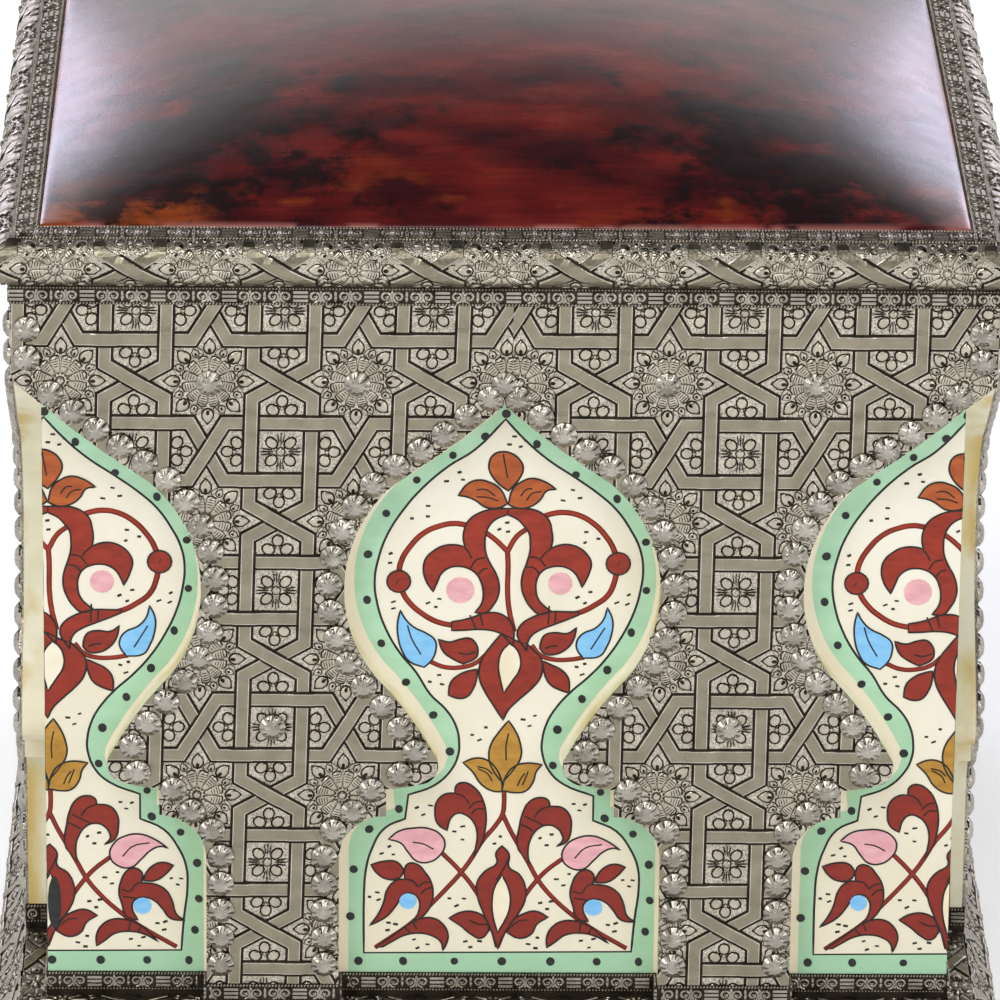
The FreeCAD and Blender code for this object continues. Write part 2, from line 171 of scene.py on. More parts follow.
def upright(face):
    """From the bench, seen from above, to the front wall at that distance; metres from here on."""
    return (Matrix.Scale(MM, 4) @ Matrix.Translation((0, -face, 0))
            @ Matrix.Rotation(math.radians(90), 4, "X"))


def on_sides(stem, mesh, materials, body, replaced=None, hinge_zone=None):
    """The front's piece and its three turned copies, each with its own mesh; the back leaves the hinges free."""
    for quarter, side in enumerate(SIDES):
        copy = mesh.copy()
        if side == "back" and hinge_zone:
            leave_bare(copy, HINGES, *hinge_zone)
        copy.transform(turned(90 * quarter))
        obj = piece(stem + "_" + side, copy, materials)
        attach(obj, body)
        if replaced:
            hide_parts(replaced + "_" + side)
    bpy.data.meshes.remove(mesh)


# Finishes

def finish_of(name):
    """A new material: its node tree, its shader and the place on the piece that patterns read."""
    material = bpy.data.materials.new(name)
    material.use_nodes = True
    tree = material.node_tree
    shader = tree.nodes["Principled BSDF"]
    return material, tree, shader, add(tree, "TexCoord").outputs["Object"]


def mottled(tree, place, size, stops, detail=4.0, stretch=(1, 1, 1)):
    """Colour that drifts between the stops, in patches of about that many millimetres."""
    mapped = add(tree, "Mapping", {"Vector": place, "Scale": stretch}).outputs[0]
    noise = add(tree, "TexNoise", {"Vector": mapped, "Scale": per(size), "Detail": detail})
    ramp = add(tree, "ValToRGB", {"Fac": noise.outputs["Fac"]})
    elements = ramp.color_ramp.elements
    while len(elements) < len(stops):
        elements.new(0.5)
    for element, (at, code) in zip(elements, stops):
        element.position = at
        element.color = linear(code)
    return ramp.outputs["Color"]


def reach(tree, place):
    """The greater of |x| and |y|: how far out from the stool's middle a point lies."""
    parts = add(tree, "SeparateXYZ", {"Vector": place})
    sizes = [add(tree, "Math", {0: parts.outputs[axis]}, operation="ABSOLUTE").outputs[0] for axis in "XY"]
    return add(tree, "Math", {0: sizes[0], 1: sizes[1]}, operation="MAXIMUM").outputs[0]


def white_metal(name, light, dark, rough, grain, depth, grain_dark=0.0):
    """Thin embossed white metal, tarnished: bright where it is rubbed, brown-grey in the hollows."""
    material, tree, shader, place = finish_of(name)
    colour = mottled(tree, place, 9, ((0.30, dark), (0.70, light)), 6)
    pits = add(tree, "TexVoronoi", {"Vector": place, "Scale": per(grain)})
    bite = add(tree, "MapRange", {"Value": pits.outputs["Distance"], "From Min": 0.15, "From Max": 0.6,
                                  "To Min": 1.0, "To Max": 0.0}).outputs[0]
    if grain_dark:
        share = add(tree, "MapRange", {"Value": bite, "To Max": grain_dark}).outputs[0]
        colour = add(tree, "Mix", {0: share, 6: colour, 7: linear("#2c271f")}, data_type="RGBA").outputs[2]
    wear = add(tree, "TexNoise", {"Vector": place, "Scale": per(5), "Detail": 5})
    matt = add(tree, "MapRange", {"Value": wear.outputs["Fac"], "From Min": 0.3, "From Max": 0.7,
                                  "To Min": rough - 0.08, "To Max": rough + 0.1})
    ripple = add(tree, "TexNoise", {"Vector": place, "Scale": per(3.5), "Detail": 3})
    dents = add(tree, "Bump", {"Height": ripple.outputs["Fac"], "Strength": 0.5, "Distance": 0.35 * MM})
    fine = add(tree, "Bump", {"Height": bite, "Strength": 1.0, "Distance": depth * MM,
                              "Normal": dents.outputs[0]})
    feed(tree, shader, {"Base Color": colour, "Roughness": matt.outputs[0], "Metallic": 1.0,
                        "Normal": fine.outputs[0]})
    return material


def brushed_paint(name, light, dark, patch=30, spec=0.35, stain=None, shade_below=None):
    """Hand-brushed oil paint under varnish: the colour pools along the brush strokes and shines a little."""
    material, tree, shader, place = finish_of(name)
    colour = mottled(tree, place, patch, ((0.32, dark), (0.68, light)), 5, (1, 1, 2.5))
    # Painted shade: the colour darkens towards the bottom of the niche, below 300 mm.
    if shade_below:
        height = add(tree, "SeparateXYZ", {"Vector": place}).outputs["Z"]
        share = add(tree, "MapRange", {"Value": height, "From Min": 60 * MM, "From Max": 300 * MM}).outputs[0]
        low = add(tree, "Mix", {0: 0.75, 6: colour, 7: linear(shade_below)}, data_type="RGBA").outputs[2]
        colour = add(tree, "Mix", {0: share, 6: low, 7: colour}, data_type="RGBA").outputs[2]
    if stain:
        rim = add(tree, "MapRange", {"Value": reach(tree, place), "From Min": 205 * MM, "From Max": 214 * MM,
                                     "To Min": 0.15, "To Max": 0.85}).outputs[0]
        spots = mottled(tree, place, 26, ((0.47, "#000000"), (0.60, "#ffffff")), 8, (1, 1, 0.4))
        spots = add(tree, "Math", {0: spots, 1: rim}, operation="MULTIPLY").outputs[0]
        colour = add(tree, "Mix", {0: spots, 6: colour, 7: linear(stain)}, data_type="RGBA").outputs[2]
    strokes = add(tree, "Mapping", {"Vector": place, "Scale": (1, 1, 0.2)}).outputs[0]
    bristle = add(tree, "TexNoise", {"Vector": strokes, "Scale": per(1.6), "Detail": 4})
    bump = add(tree, "Bump", {"Height": bristle.outputs["Fac"], "Strength": 0.35, "Distance": 0.12 * MM})
    feed(tree, shader, {"Base Color": colour, "Roughness": 0.42, "Specular IOR Level": spec, "IOR": 1.48,
                        "Normal": bump.outputs[0]})
    return material


def sawn_wood(name, light, dark, stretch):
    """Plain sawn pine, unpainted: straight grain about 3 mm apart, dull and a little rough."""
    material, tree, shader, place = finish_of(name)
    grain = mottled(tree, place, 3, ((0.3, dark), (0.7, light)), 6, stretch)
    fibres = add(tree, "Mapping", {"Vector": place, "Scale": stretch}).outputs[0]
    fuzz = add(tree, "TexNoise", {"Vector": fibres, "Scale": per(1.2), "Detail": 4})
    bump = add(tree, "Bump", {"Height": fuzz.outputs["Fac"], "Strength": 0.5, "Distance": 0.2 * MM})
    feed(tree, shader, {"Base Color": grain, "Roughness": 0.75, "Normal": bump.outputs[0]})
    return material


def cut_metal(name, light, dark, rough):
    """Plain machined hardware metal with fine handling scratches."""
    material, tree, shader, place = finish_of(name)
    lines = add(tree, "Mapping", {"Vector": place, "Scale": (0.1, 1, 1)}).outputs[0]
    scratch = add(tree, "TexNoise", {"Vector": lines, "Scale": per(0.5), "Detail": 3})
    bump = add(tree, "Bump", {"Height": scratch.outputs["Fac"], "Strength": 0.3, "Distance": 0.05 * MM})
    feed(tree, shader, {"Base Color": mottled(tree, place, 6, ((0.3, dark), (0.7, light))), "Metallic": 1.0,
                        "Roughness": rough, "Normal": bump.outputs[0]})
    return material


def glazed_leather():
    """Goat leather, hand-dyed oxblood and glazed: painted shade as ragged dark patches towards the crown's four
    corners, rubbed orange patches, a pale worn edge.
    """
    material, tree, shader, place = finish_of("glazed_dyed_leather")
    dye = mottled(tree, place, 40, ((0.34, "#38090f"), (0.50, "#581111"), (0.64, "#701b14"), (0.74, "#7c2616")),
                  12, (0.8, 1.5, 1))
    parts = add(tree, "SeparateXYZ", {"Vector": place})
    across = add(tree, "Math", {0: parts.outputs["X"]}, operation="ABSOLUTE").outputs[0]
    along = add(tree, "Math", {0: parts.outputs["Y"]}, operation="ABSOLUTE").outputs[0]
    corner = add(tree, "CombineXYZ", {"X": across, "Y": along}).outputs[0]
    outer = add(tree, "MapRange", {"Value": along, "From Min": 0.150, "From Max": 0.185, "To Max": 0.85}).outputs[0]
    rubbed = mottled(tree, place, 55, ((0.53, "#000000"), (0.60, "#ffffff")), 12, (0.7, 1, 1))
    rubbed = add(tree, "Math", {0: outer, 1: rubbed}, operation="MULTIPLY").outputs[0]
    colour = add(tree, "Mix", {0: rubbed, 6: dye, 7: linear("#93400f")}, data_type="RGBA").outputs[2]
    # Painted shade: ragged dark patches round a point near each of the crown's four corners.
    far = add(tree, "VectorMath", {0: corner, 1: (0.148, 0.135, 0)}, operation="DISTANCE").outputs["Value"]
    shade_noise = add(tree, "TexNoise", {"Vector": place, "Scale": per(30), "Detail": 13, "Roughness": 0.68})
    ragged_shade = add(tree, "Math", {0: shade_noise.outputs["Fac"], 1: -0.50, 2: far}, operation="MULTIPLY_ADD").outputs[0]
    dark = add(tree, "MapRange", {"Value": ragged_shade, "From Min": -0.215, "From Max": -0.160,
                                  "To Min": 0.92, "To Max": 0.0}).outputs[0]
    colour = add(tree, "Mix", {0: dark, 6: colour, 7: linear("#150b0f")}, data_type="RGBA").outputs[2]
    streaks = mottled(tree, place, 2.2, ((0.35, "#a89c9c"), (0.62, "#ffffff")), 6, (0.07, 1, 1))
    colour = add(tree, "Mix", {0: 0.45, 6: colour, 7: streaks}, data_type="RGBA", blend_type="MULTIPLY").outputs[2]
    edge = add(tree, "MapRange", {"Value": parts.outputs["Z"], "From Min": 413.7 * MM, "From Max": 415.1 * MM,
                                  "To Min": 0.75, "To Max": 0.0}).outputs[0]
    chafed = mottled(tree, place, 25, ((0.47, "#000000"), (0.56, "#ffffff")), 12)
    worn = add(tree, "Math", {0: edge, 1: chafed}, operation="MULTIPLY").outputs[0]
    colour = add(tree, "Mix", {0: worn, 6: colour, 7: linear("#a5655c")}, data_type="RGBA").outputs[2]
    rub = add(tree, "TexNoise", {"Vector": place, "Scale": per(14), "Detail": 5})
    matt = add(tree, "MapRange", {"Value": rub.outputs["Fac"], "From Min": 0.3, "From Max": 0.7,
                                  "To Min": 0.22, "To Max": 0.30})
    pores = add(tree, "TexVoronoi", {"Vector": place, "Scale": per(1.6)}, feature="DISTANCE_TO_EDGE")
    pebble = add(tree, "MapRange", {"Value": pores.outputs["Distance"], "From Max": 0.25}).outputs[0]
    crease = add(tree, "TexNoise", {"Vector": place, "Scale": per(30), "Detail": 4})
    broad = add(tree, "Bump", {"Height": crease.outputs["Fac"], "Strength": 0.4, "Distance": 0.8 * MM})
    grain = add(tree, "Bump", {"Height": pebble, "Strength": 0.3, "Distance": 0.06 * MM,
                               "Normal": broad.outputs[0]})
    feed(tree, shader, {"Base Color": colour, "Roughness": matt.outputs[0], "Specular IOR Level": 0.42,
                        "Coat Weight": 0.2, "Coat Roughness": 0.16, "Normal": grain.outputs[0]})
    return material


def core_paint():
    """The core boards are painted outside and left bare inside the storage space."""
    material, tree, shader, place = finish_of("painted_core_board")
    height = add(tree, "SeparateXYZ", {"Vector": place}).outputs["Z"]
    outside = add(tree, "Math", {0: reach(tree, place), 1: 202 * MM}, operation="GREATER_THAN").outputs[0]
    paint = mottled(tree, place, 60, ((0.30, "#efe7cf"), (0.70, "#fbf6e6")), 6)
    # Painted shade: the cream darkens towards the bottom of the boards.
    share = add(tree, "MapRange", {"Value": height, "From Min": 50 * MM, "From Max": 300 * MM}).outputs[0]
    low = add(tree, "Mix", {0: 0.6, 6: paint, 7: linear("#eadfbf")}, data_type="RGBA").outputs[2]
    paint = add(tree, "Mix", {0: share, 6: low, 7: paint}, data_type="RGBA").outputs[2]
    grain = mottled(tree, place, 3, ((0.3, "#b58a55"), (0.7, "#d3aa73")), 6, (1, 1, 0.08))
    colour = add(tree, "Mix", {0: outside, 6: grain, 7: paint}, data_type="RGBA").outputs[2]
    matt = add(tree, "MapRange", {"Value": outside, "To Min": 0.75, "To Max": 0.42})
    strokes = add(tree, "Mapping", {"Vector": place, "Scale": (1, 1, 0.15)}).outputs[0]
    bristle = add(tree, "TexNoise", {"Vector": strokes, "Scale": per(2), "Detail": 4})
    bump = add(tree, "Bump", {"Height": bristle.outputs["Fac"], "Strength": 0.4, "Distance": 0.12 * MM})
    feed(tree, shader, {"Base Color": colour, "Roughness": matt.outputs[0], "Normal": bump.outputs[0]})
    return material


sheet_metal = white_metal("repousse_white_metal", "#c9c2b4", "#aaa293", 0.38, 0.8, 0.14, 0.62)
strap_metal = white_metal("burnished_strap_metal", "#908977", "#807968", 0.34, 2.2, 0.05)
relief_metal = white_metal("raised_leaf_metal", "#b9b1a2", "#9c9485", 0.30, 1.2, 0.06)
# A lighter copy of the strap metal for the bevels along the straps' edges: a painted highlight, the same on every
# edge.
highlight_edge_metal = white_metal("painted_highlight_edge_metal", "#cfc9be", "#a9a296", 0.24, 1.2, 0.04)
groove_metal = white_metal("tarnished_groove_metal", "#3b352b", "#221e17", 0.6, 0.8, 0.05)
band_metal = white_metal("scroll_band_metal", "#a59e92", "#827b70", 0.30, 0.9, 0.05)
band_ground = white_metal("tarnished_band_ground", "#453f35", "#27221c", 0.55, 0.7, 0.05)
# A lighter copy of the band ground for the seat border, which faces up: painted light.
lit_border_ground = white_metal("border_ground_painted_light", "#857c70", "#5b5348", 0.42, 0.7, 0.05)
nail_metal = white_metal("pressed_nail_metal", "#aea99f", "#7d776d", 0.20, 1.5, 0.04)
jamb_paint = brushed_paint("brushed_cream_paint", "#fff6de", "#f1e6c8", 40, 0.3, "#dcb95a")
# The green and the red carry painted shade, darker towards the bottom.
green_paint = brushed_paint("brushed_green_paint", "#bfe8c8", "#acdab6", 25, 0.35, None, "#a6d0a8")
red_paint = brushed_paint("brushed_red_paint", "#a5331b", "#842510", 9, 0.4, None, "#7d1f13")
rust_paint = brushed_paint("brushed_rust_paint", "#bd622e", "#9f4c22", 10)
ochre_paint = brushed_paint("brushed_ochre_paint", "#c4933d", "#a97a2c", 10)
blue_paint = brushed_paint("brushed_blue_paint", "#93d2fa", "#7ec0f0", 8)
pink_paint = brushed_paint("brushed_pink_paint", "#f5bec1", "#e2a3a9", 8)
line_paint = brushed_paint("brushed_black_line_paint", "#2a2d2a", "#181a17", 8)
pine = sawn_wood("sawn_pine", "#cfa772", "#ab8151", (1, 1, 0.08))
flat_pine = sawn_wood("sawn_pine_boards", "#cfa772", "#ab8151", (0.08, 1, 1))
brass = cut_metal("cut_hinge_brass", "#c9a656", "#a2803a", 0.32)
steel = cut_metal("zinc_plated_steel", "#b9babb", "#8f9092", 0.35)
core_board = core_paint()
leather = glazed_leather()
EMBOSSED = [relief_metal, groove_metal, strap_metal, highlight_edge_metal]
SCROLLED = [band_metal, groove_metal, band_metal]


def dress(material, *stems):
    for name, node in nodes.items():
        if name in stems or name.rsplit("_", 1)[0] in stems:
            for place in node.material_slots:
                place.material = material


dress(core_board, "core_board")
dress(pine, "corner_battens", "plinth_blocks")
dress(flat_pine, "bottom_panel", "lid_board", "plinth_board", "lid_rail")
dress(jamb_paint, "fretted_board")
dress(sheet_metal, "wall_sheet", "plinth_sheet", "nose_sheet")
dress(band_ground, "top_band", "foot_band")
dress(lit_border_ground, "border_band")
dress(brass, "hinge_leaves")
dress(steel, "hinge_pins", "hinge_screws")


# Patterns of the embossing, modelled once on the bench

def pulled_up(sides, rings):
    """A closed form, pulled up from a circle through rings of (height, radius)."""
    fresh()
    height, width = rings[0]
    bpy.ops.mesh.primitive_circle_add(vertices=sides, radius=width, fill_type="NGON", location=(0, 0, height))
    bpy.ops.object.transform_apply(location=True)
    edit()
    for level, across in rings[1:]:
        bpy.ops.mesh.extrude_region_move(TRANSFORM_OT_translate={"value": (0, 0, level - height)})
        share = across / width
        bpy.ops.transform.resize(value=(share, share, 1), center_override=(0, 0, level))
        height, width = level, across
    close_up()
    return lift()


def raised(sides, rings, shape=None, dark_rings=2):
    """A lobe of radius 1 whose lowest rings are the dark outline."""
    mesh = pulled_up(sides, rings)
    rim = rings[dark_rings][0] + 0.001
    for face in mesh.polygons:
        low = all(mesh.vertices[v].co.z < rim for v in face.vertices)
        face.material_index = 1 if low else 0
        face.use_smooth = not low
    if shape:
        for vertex in mesh.vertices:
            vertex.co = shape(vertex.co.copy())
    return mesh


def leaf_shape(co):
    """From a round lobe to a leaf that comes to a point at the far end."""
    far = max(co.y, 0.0)
    co.x *= 1 - 0.75 * far ** 1.5
    co.y *= 1.0 + 0.15 * far
    return co


def petal_shape(co):
    """From a round lobe to a fan-shaped petal, narrow at its root and full at its end."""
    co.x = math.copysign(abs(co.x) ** 0.4, co.x) * (0.62 + 0.38 * co.y)
    return co


def sweep(path, section, dark, bright=()):
    """A strip laid along a path of (x, y, lift), mitred at its bends; dark names the spans of the section in groove
    metal, bright those in the lighter edge metal that is a painted highlight.
    """
    bm = bmesh.new()
    rows = []
    for i, (x, y, lift) in enumerate(path):
        before, after = path[max(i - 1, 0)], path[min(i + 1, len(path) - 1)]
        into = (Vector(path[i][:2]) - Vector(before[:2])) if i else None
        out = (Vector(after[:2]) - Vector(path[i][:2])) if i < len(path) - 1 else None
        into, out = (into or out).normalized(), (out or into).normalized()
        along = (into + out).normalized()
        side = Vector((-along.y, along.x)) / max(along.dot(into), 0.3)
        rows.append([bm.verts.new((x + side.x * s, y + side.y * s, h + lift)) for s, h in section])
    count = len(section)
    for low, high in zip(rows, rows[1:]):
        for k in range(count):
            face = bm.faces.new((low[k], low[(k + 1) % count], high[(k + 1) % count], high[k]))
            face.material_index = 1 if k in dark else 3 if k in bright else 2
    bm.faces.new(rows[0][::-1])
    bm.faces.new(rows[-1])
    bmesh.ops.recalc_face_normals(bm, faces=bm.faces)
    return settled(bm, "strip")


SUNK = -0.4
LOBE = raised(10, ((SUNK, 1.0), (0.10, 1.0), (0.10, 0.77), (0.62, 0.70), (0.66, 0.50), (0.42, 0.20)))
LEAF = raised(10, ((SUNK, 1.0), (0.10, 1.0), (0.10, 0.80), (0.66, 0.71), (0.78, 0.40)), leaf_shape)
PETAL = raised(12, ((SUNK, 1.0), (0.12, 1.0), (0.12, 0.88), (0.78, 0.80), (0.92, 0.45)), petal_shape)
BUTTON = raised(8, ((SUNK, 1.0), (0.10, 1.0), (0.10, 0.85), (1.0, 0.72), (1.5, 0.35)))
PIT = raised(6, ((SUNK, 1.0), (0.84, 1.0), (0.94, 0.7)))
RIB = raised(6, ((SUNK, 1.0), (0.98, 1.0)), None, 1)

STRAP_HALF = 2.9
GROOVE_W = 1.05
STRAP_SECTION = ((-STRAP_HALF - GROOVE_W, SUNK), (-STRAP_HALF - GROOVE_W, 0.08), (-STRAP_HALF, 0.08),
                 (-STRAP_HALF + 0.2, 0.50), (-STRAP_HALF + 0.55, 0.62), (STRAP_HALF - 0.55, 0.62),
                 (STRAP_HALF - 0.2, 0.50), (STRAP_HALF, 0.08), (STRAP_HALF + GROOVE_W, 0.08),
                 (STRAP_HALF + GROOVE_W, SUNK))
OVER, UNDER = 0.52, -0.05
HALF_TILE = 33.0
STRAP_AT = 13.5
STRAP_BEND = 25.2
RISE_L = 6.4          # how far from a crossing a strap starts to rise or sink
RAMP_L = 2.4


def strap_path():
    """The left strap of a flower's square: under the crossing above it, over the upper strap, under the lower."""
    a, slope = STRAP_AT, (HALF_TILE - STRAP_BEND) / STRAP_AT
    turn = [(-t, HALF_TILE - slope * t) for t in (0.0, 4.0, 6.6)]
    path = [(x, y, lift) for (x, y), lift in zip(turn, (UNDER, UNDER, 0.0))]
    path.append((-a, STRAP_BEND, 0.0))
    for crossing, lift in ((a, OVER), (-a, UNDER)):
        for reach, level in ((RISE_L, 0.0), (RISE_L - RAMP_L, lift), (RAMP_L - RISE_L, lift), (-RISE_L, 0.0)):
            path.append((-a, crossing + reach, level))
    path.append((-a, -STRAP_BEND, 0.0))
    path += [(x, -y, lift) for (x, y), lift in zip(reversed(turn), (0.0, OVER, OVER))]
    return path


# Spans 3 and 5, the bevels along the strap's top, take the painted highlight metal.
STRAP = sweep(strap_path(), STRAP_SECTION, (0, 1, 7, 8), (3, 5))


def flower():
    """Four round petals, a button and three chased rays between them."""
    parts = [(BUTTON, put(0, 0, 0, 2.4, 2.4, 0.9), None)]
    for quarter in range(4):
        spin = turned(90 * quarter)
        parts.append((LOBE, spin @ put(4.1, 4.1, -45, 2.7, 3.5), None))
        for lean in (-1, 0, 1):
            parts.append((RIB, spin @ put(1.2 * lean, 6.3, -10 * lean, 0.3, 3.1 - 0.5 * abs(lean), 0.5), None))
    return parts


def house():
    """A trefoil in the five-sided cell above a square."""
    return [(LOBE, put(0, 23.8, 0, 2.9, 3.2), None), (LOBE, put(-4.1, 19.7, 62, 2.9, 3.4), None),
            (LOBE, put(4.1, 19.7, -62, 2.9, 3.4), None), (BUTTON, put(0, 20.6, 0, 1.1, 1.1, 0.8), None)]


def rosette(x, y, nailed):
    """Twelve ribbed petals in a ring, with leaves that fill the star-shaped cell round them."""
    here = Matrix.Translation((x, y, 0))
    parts = [] if nailed else [(BUTTON, here @ put(0, 0, 0, 2.3, 2.3, 1.2), None)]
    for k in range(12):
        spin = here @ turned(30 * k + 15)
        parts.append((PETAL, spin @ put(0, 7.6, 0, 3.0, 4.9), None))
        for step, wide in ((7.0, 1.3), (8.2, 1.6), (9.4, 1.9), (10.5, 2.1)):
            parts.append((RIB, spin @ put(0, step, 0, wide, 0.22), None))
    for quarter in range(4):
        spin = here @ turned(90 * quarter)
        parts.append((LEAF, spin @ put(0, 16.2, 0, 3.2, 3.9), None))
        parts.append((PIT, spin @ put(0, 14.6, 0, 0.9, 1.3), None))
        for lean in (-1, 1):
            parts.append((LEAF, spin @ put(3.9 * lean, 14.0, -42 * lean, 1.0, 2.3, 0.9), None))
            parts.append((LEAF, spin @ put(6.3 * lean, 13.1, -26 * lean, 1.9, 2.3, 0.9), None))
            parts.append((PIT, spin @ put(6.1 * lean, 12.7, -26 * lean, 0.6, 0.8), None))
        spin = spin @ turned(45)
        parts.append((LEAF, spin @ put(0, 16.1, 0, 3.3, 3.9), None))
        parts.append((PIT, spin @ put(0, 14.4, 0, 0.9, 1.3), None))
    return parts


def tile(nailed):
    """One repeat of the interlace round a flower, with the rosette at its upper right."""
    parts = flower() + rosette(HALF_TILE, HALF_TILE, nailed)
    for quarter in range(4):
        spin = turned(90 * quarter)
        parts.append((STRAP, spin, None))
        parts += laid(spin, house())
    return parts


# The embossed walls

PITCH_X = 65.0
PITCH_Z = 66.0
LATTICE_Z = 313.0     # a row of flowers
SEAM_X = 3.5          # the two lengths of sheet meet here, above the point of the arch
HALVES = ((-1, -97.2, 0.030), (1, 104.2, 0.009))    # side of the seam, a flower column, lean of the pattern
NAILED = ((-129.5, 345.5), (-64.5, 345.5), (71.5, 345.5), (136.5, 345.5))
CLIP_OUT = 4.0
BAND_LOW = 382.0      # the embossing ends at the scrollwork bands
FOOT_HIGH = 55.0


def sheet_face():
    """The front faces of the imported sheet, merged: the outline that the embossing stays within."""
    mesh = nodes["wall_sheet_front"].data.copy()
    bm = bmesh.new()
    bm.from_mesh(mesh)
    bpy.data.meshes.remove(mesh)
    bmesh.ops.remove_doubles(bm, verts=bm.verts, dist=0.01 * MM)
    back = [f for f in bm.faces if any(v.co.y > (-WALL + 0.1) * MM for v in f.verts)]
    bmesh.ops.delete(bm, geom=back, context="FACES")
    for level, side in ((BAND_LOW, 1), (FOOT_HIGH, -1)):
        cut(bm, (0, 0, level * MM), (0, 0, side))
    return settled(bm, "outline")


def clip_block(outline):
    """That outline as a block, from just behind the face of the sheet to in front of the embossing."""
    obj = piece("clip", outline.copy(), [])
    only(obj)
    edit()
    bpy.ops.transform.translate(value=(0, 0.5 * MM, 0))
    bpy.ops.mesh.extrude_region_move(TRANSFORM_OT_translate={"value": (0, -CLIP_OUT * MM, 0)})
    close_up()
    return obj


def sorted_parts(parts, tree):
    """Parts that lie wholly on the sheet, and parts that cross its edge and have to be cut."""
    whole, crossing = [], []
    for mesh, matrix, number in parts:
        on = 0
        tested = list(mesh.vertices)[::max(1, len(mesh.vertices) // 24)]
        for vertex in tested:
            at = matrix @ vertex.co
            hit = tree.ray_cast(Vector((at.x * MM, -1, at.y * MM)), Vector((0, 1, 0)), 1 - (WALL - 1) * MM)
            on += hit[0] is not None
        if on == len(tested):
            whole.append((mesh, matrix, number))
        elif on:
            crossing.append((mesh, matrix, number))
    return whole, crossing


def wall_parts(side, column_x, lean):
    """The tiles of one length of sheet."""
    parts = []
    for row in range(-4, 2):
        z = LATTICE_Z + row * PITCH_Z
        for column in range(-3, 4):
            x = column_x + column * PITCH_X
            if abs(x) > WALL + HALF_TILE or (x - SEAM_X) * side < -HALF_TILE:
                continue
            corner = (x + HALF_TILE, z + HALF_TILE)
            nailed = any(math.dist(corner, place) < 8 for place in NAILED)
            wide, long = PITCH_X / (2 * HALF_TILE), PITCH_Z / (2 * HALF_TILE)
            skew = Matrix(((wide, lean, 0, x + lean * (z - 346)), (0, long, 0, z), (0, 0, 1, 0), (0, 0, 0, 1)))
            parts += laid(skew, tile(nailed))
    return parts


def make_walls():
    outline = sheet_face()
    tree = BVHTree.FromPolygons([v.co for v in outline.vertices], [p.vertices[:] for p in outline.polygons])
    block = clip_block(outline)
    for side, column_x, lean in HALVES:
        whole, crossing = sorted_parts(wall_parts(side, column_x, lean), tree)
        mesh = gather("whole", whole)
        mesh.transform(upright(WALL))
        rim = gather("rim", crossing)
        rim.transform(upright(WALL))
        trimmed = piece("rim", rim, EMBOSSED)
        only(trimmed)
        clip = trimmed.modifiers.new("clip", "BOOLEAN")
        clip.object, clip.operation, clip.solver = block, "INTERSECT", "MANIFOLD"
        bpy.ops.object.modifier_apply(modifier=clip.name)
        only(piece("embossing", mesh, EMBOSSED))
        trimmed.select_set(True)
        bpy.ops.object.join()
        edit()
        bpy.ops.mesh.bisect(plane_co=(SEAM_X * MM, 0, 0), plane_no=(side, 0, 0), clear_inner=True, use_fill=False)
        bpy.ops.object.mode_set(mode="OBJECT")
        name = "embossing_" + ("left" if side < 0 else "right") + "_length"
        on_sides(name, lift(), EMBOSSED, "box", None, (366, 393))
    bpy.data.objects.remove(block)


# Dome nails

NAIL_RINGS = ((0.0, 6.2), (0.35, 6.2), (1.8, 5.9), (3.5, 3.4), (3.95, 1.0))    # height, radius
NAIL_TOP = 3.97       # a packed dome's top lies at least this far out from the wall


def nail_pattern():
    """A pressed dome of 12 flutes with a small flat brim."""
    mesh = pulled_up(24, NAIL_RINGS)
    for face in mesh.polygons:
        face.material_index = 1 if max(mesh.vertices[v].co.z for v in face.vertices) < 1.0 else 0
    for vertex in mesh.vertices:
        if 0.6 < vertex.co.z < 3.9 and round(math.degrees(math.atan2(vertex.co.y, vertex.co.x)) / 15) % 2:
            vertex.co = Vector((vertex.co.x * 0.955, vertex.co.y * 0.955, vertex.co.z - 0.28))
    return mesh


def nail_places():
    """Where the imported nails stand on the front: the tops of their domes."""
    mesh = nodes["dome_nails_front"].data
    tops = [v.co for v in mesh.vertices if v.co.y < (-WALL - NAIL_TOP) * MM]
    found = []
    for top in tops:
        if all((top - other).length > 3 * MM for other in found):    # one for each nail
            found.append(top.copy())
    return found


def make_nails():
    pattern = nail_pattern()
    copies = []
    for top in nail_places():
        spin = put(top.x / MM, top.z / MM, dice.uniform(-4, 4))
        copies.append((pattern, upright(WALL) @ spin, None))
    mesh = gather("nails", copies)
    on_sides("fluted_nails", mesh, [nail_metal, groove_metal], "box", "dome_nails")


# The painted niches, a traditional arabesque. Its outlines follow the photograph: points placed
# over enlarged views of it, then worked out in millimetres on the painted wall; ! marks a sharp point

BORDER_LINE = ("0.8,324! 9.5,314.2 20,304.7 32.1,296.3 42.1,288.9 50.5,281 56.8,271.6 61,262.6 62.6,253.2 61.6,242.6 "
               "58.9,232.1 53.7,220.5 46.3,208.9 38.9,200.5 31.6,193.7 25.3,186.3 21.1,179 18.7,169.5 18.9,163.2 "
               "22.1,154.7 28.4,148.4 42.1,142.6! 42.1,130.5! 52.6,125.3 58.9,116.8 62.6,107.4 63.2,96.8 61.6,82.1 "
               "60.3,65.5! -60.7,64.5! -60.7,94.7 -60,105.3 -57.4,115.8 -51.6,126.3 -42.4,131! -41,142.8! "
               "-29.5,147.4 -22.1,154.7 -18.9,162 -18.4,168.4 -20,176.8 -24.2,184.2 -31.6,192 -37.9,202.6 "
               "-45.3,212.1 -51.6,223.7 -55.3,235.3 -56.6,246.8 -54.7,258.4 -51,269 -44.2,280.5 -35.8,291 "
               "-24.2,301.6 -12.6,309.5")
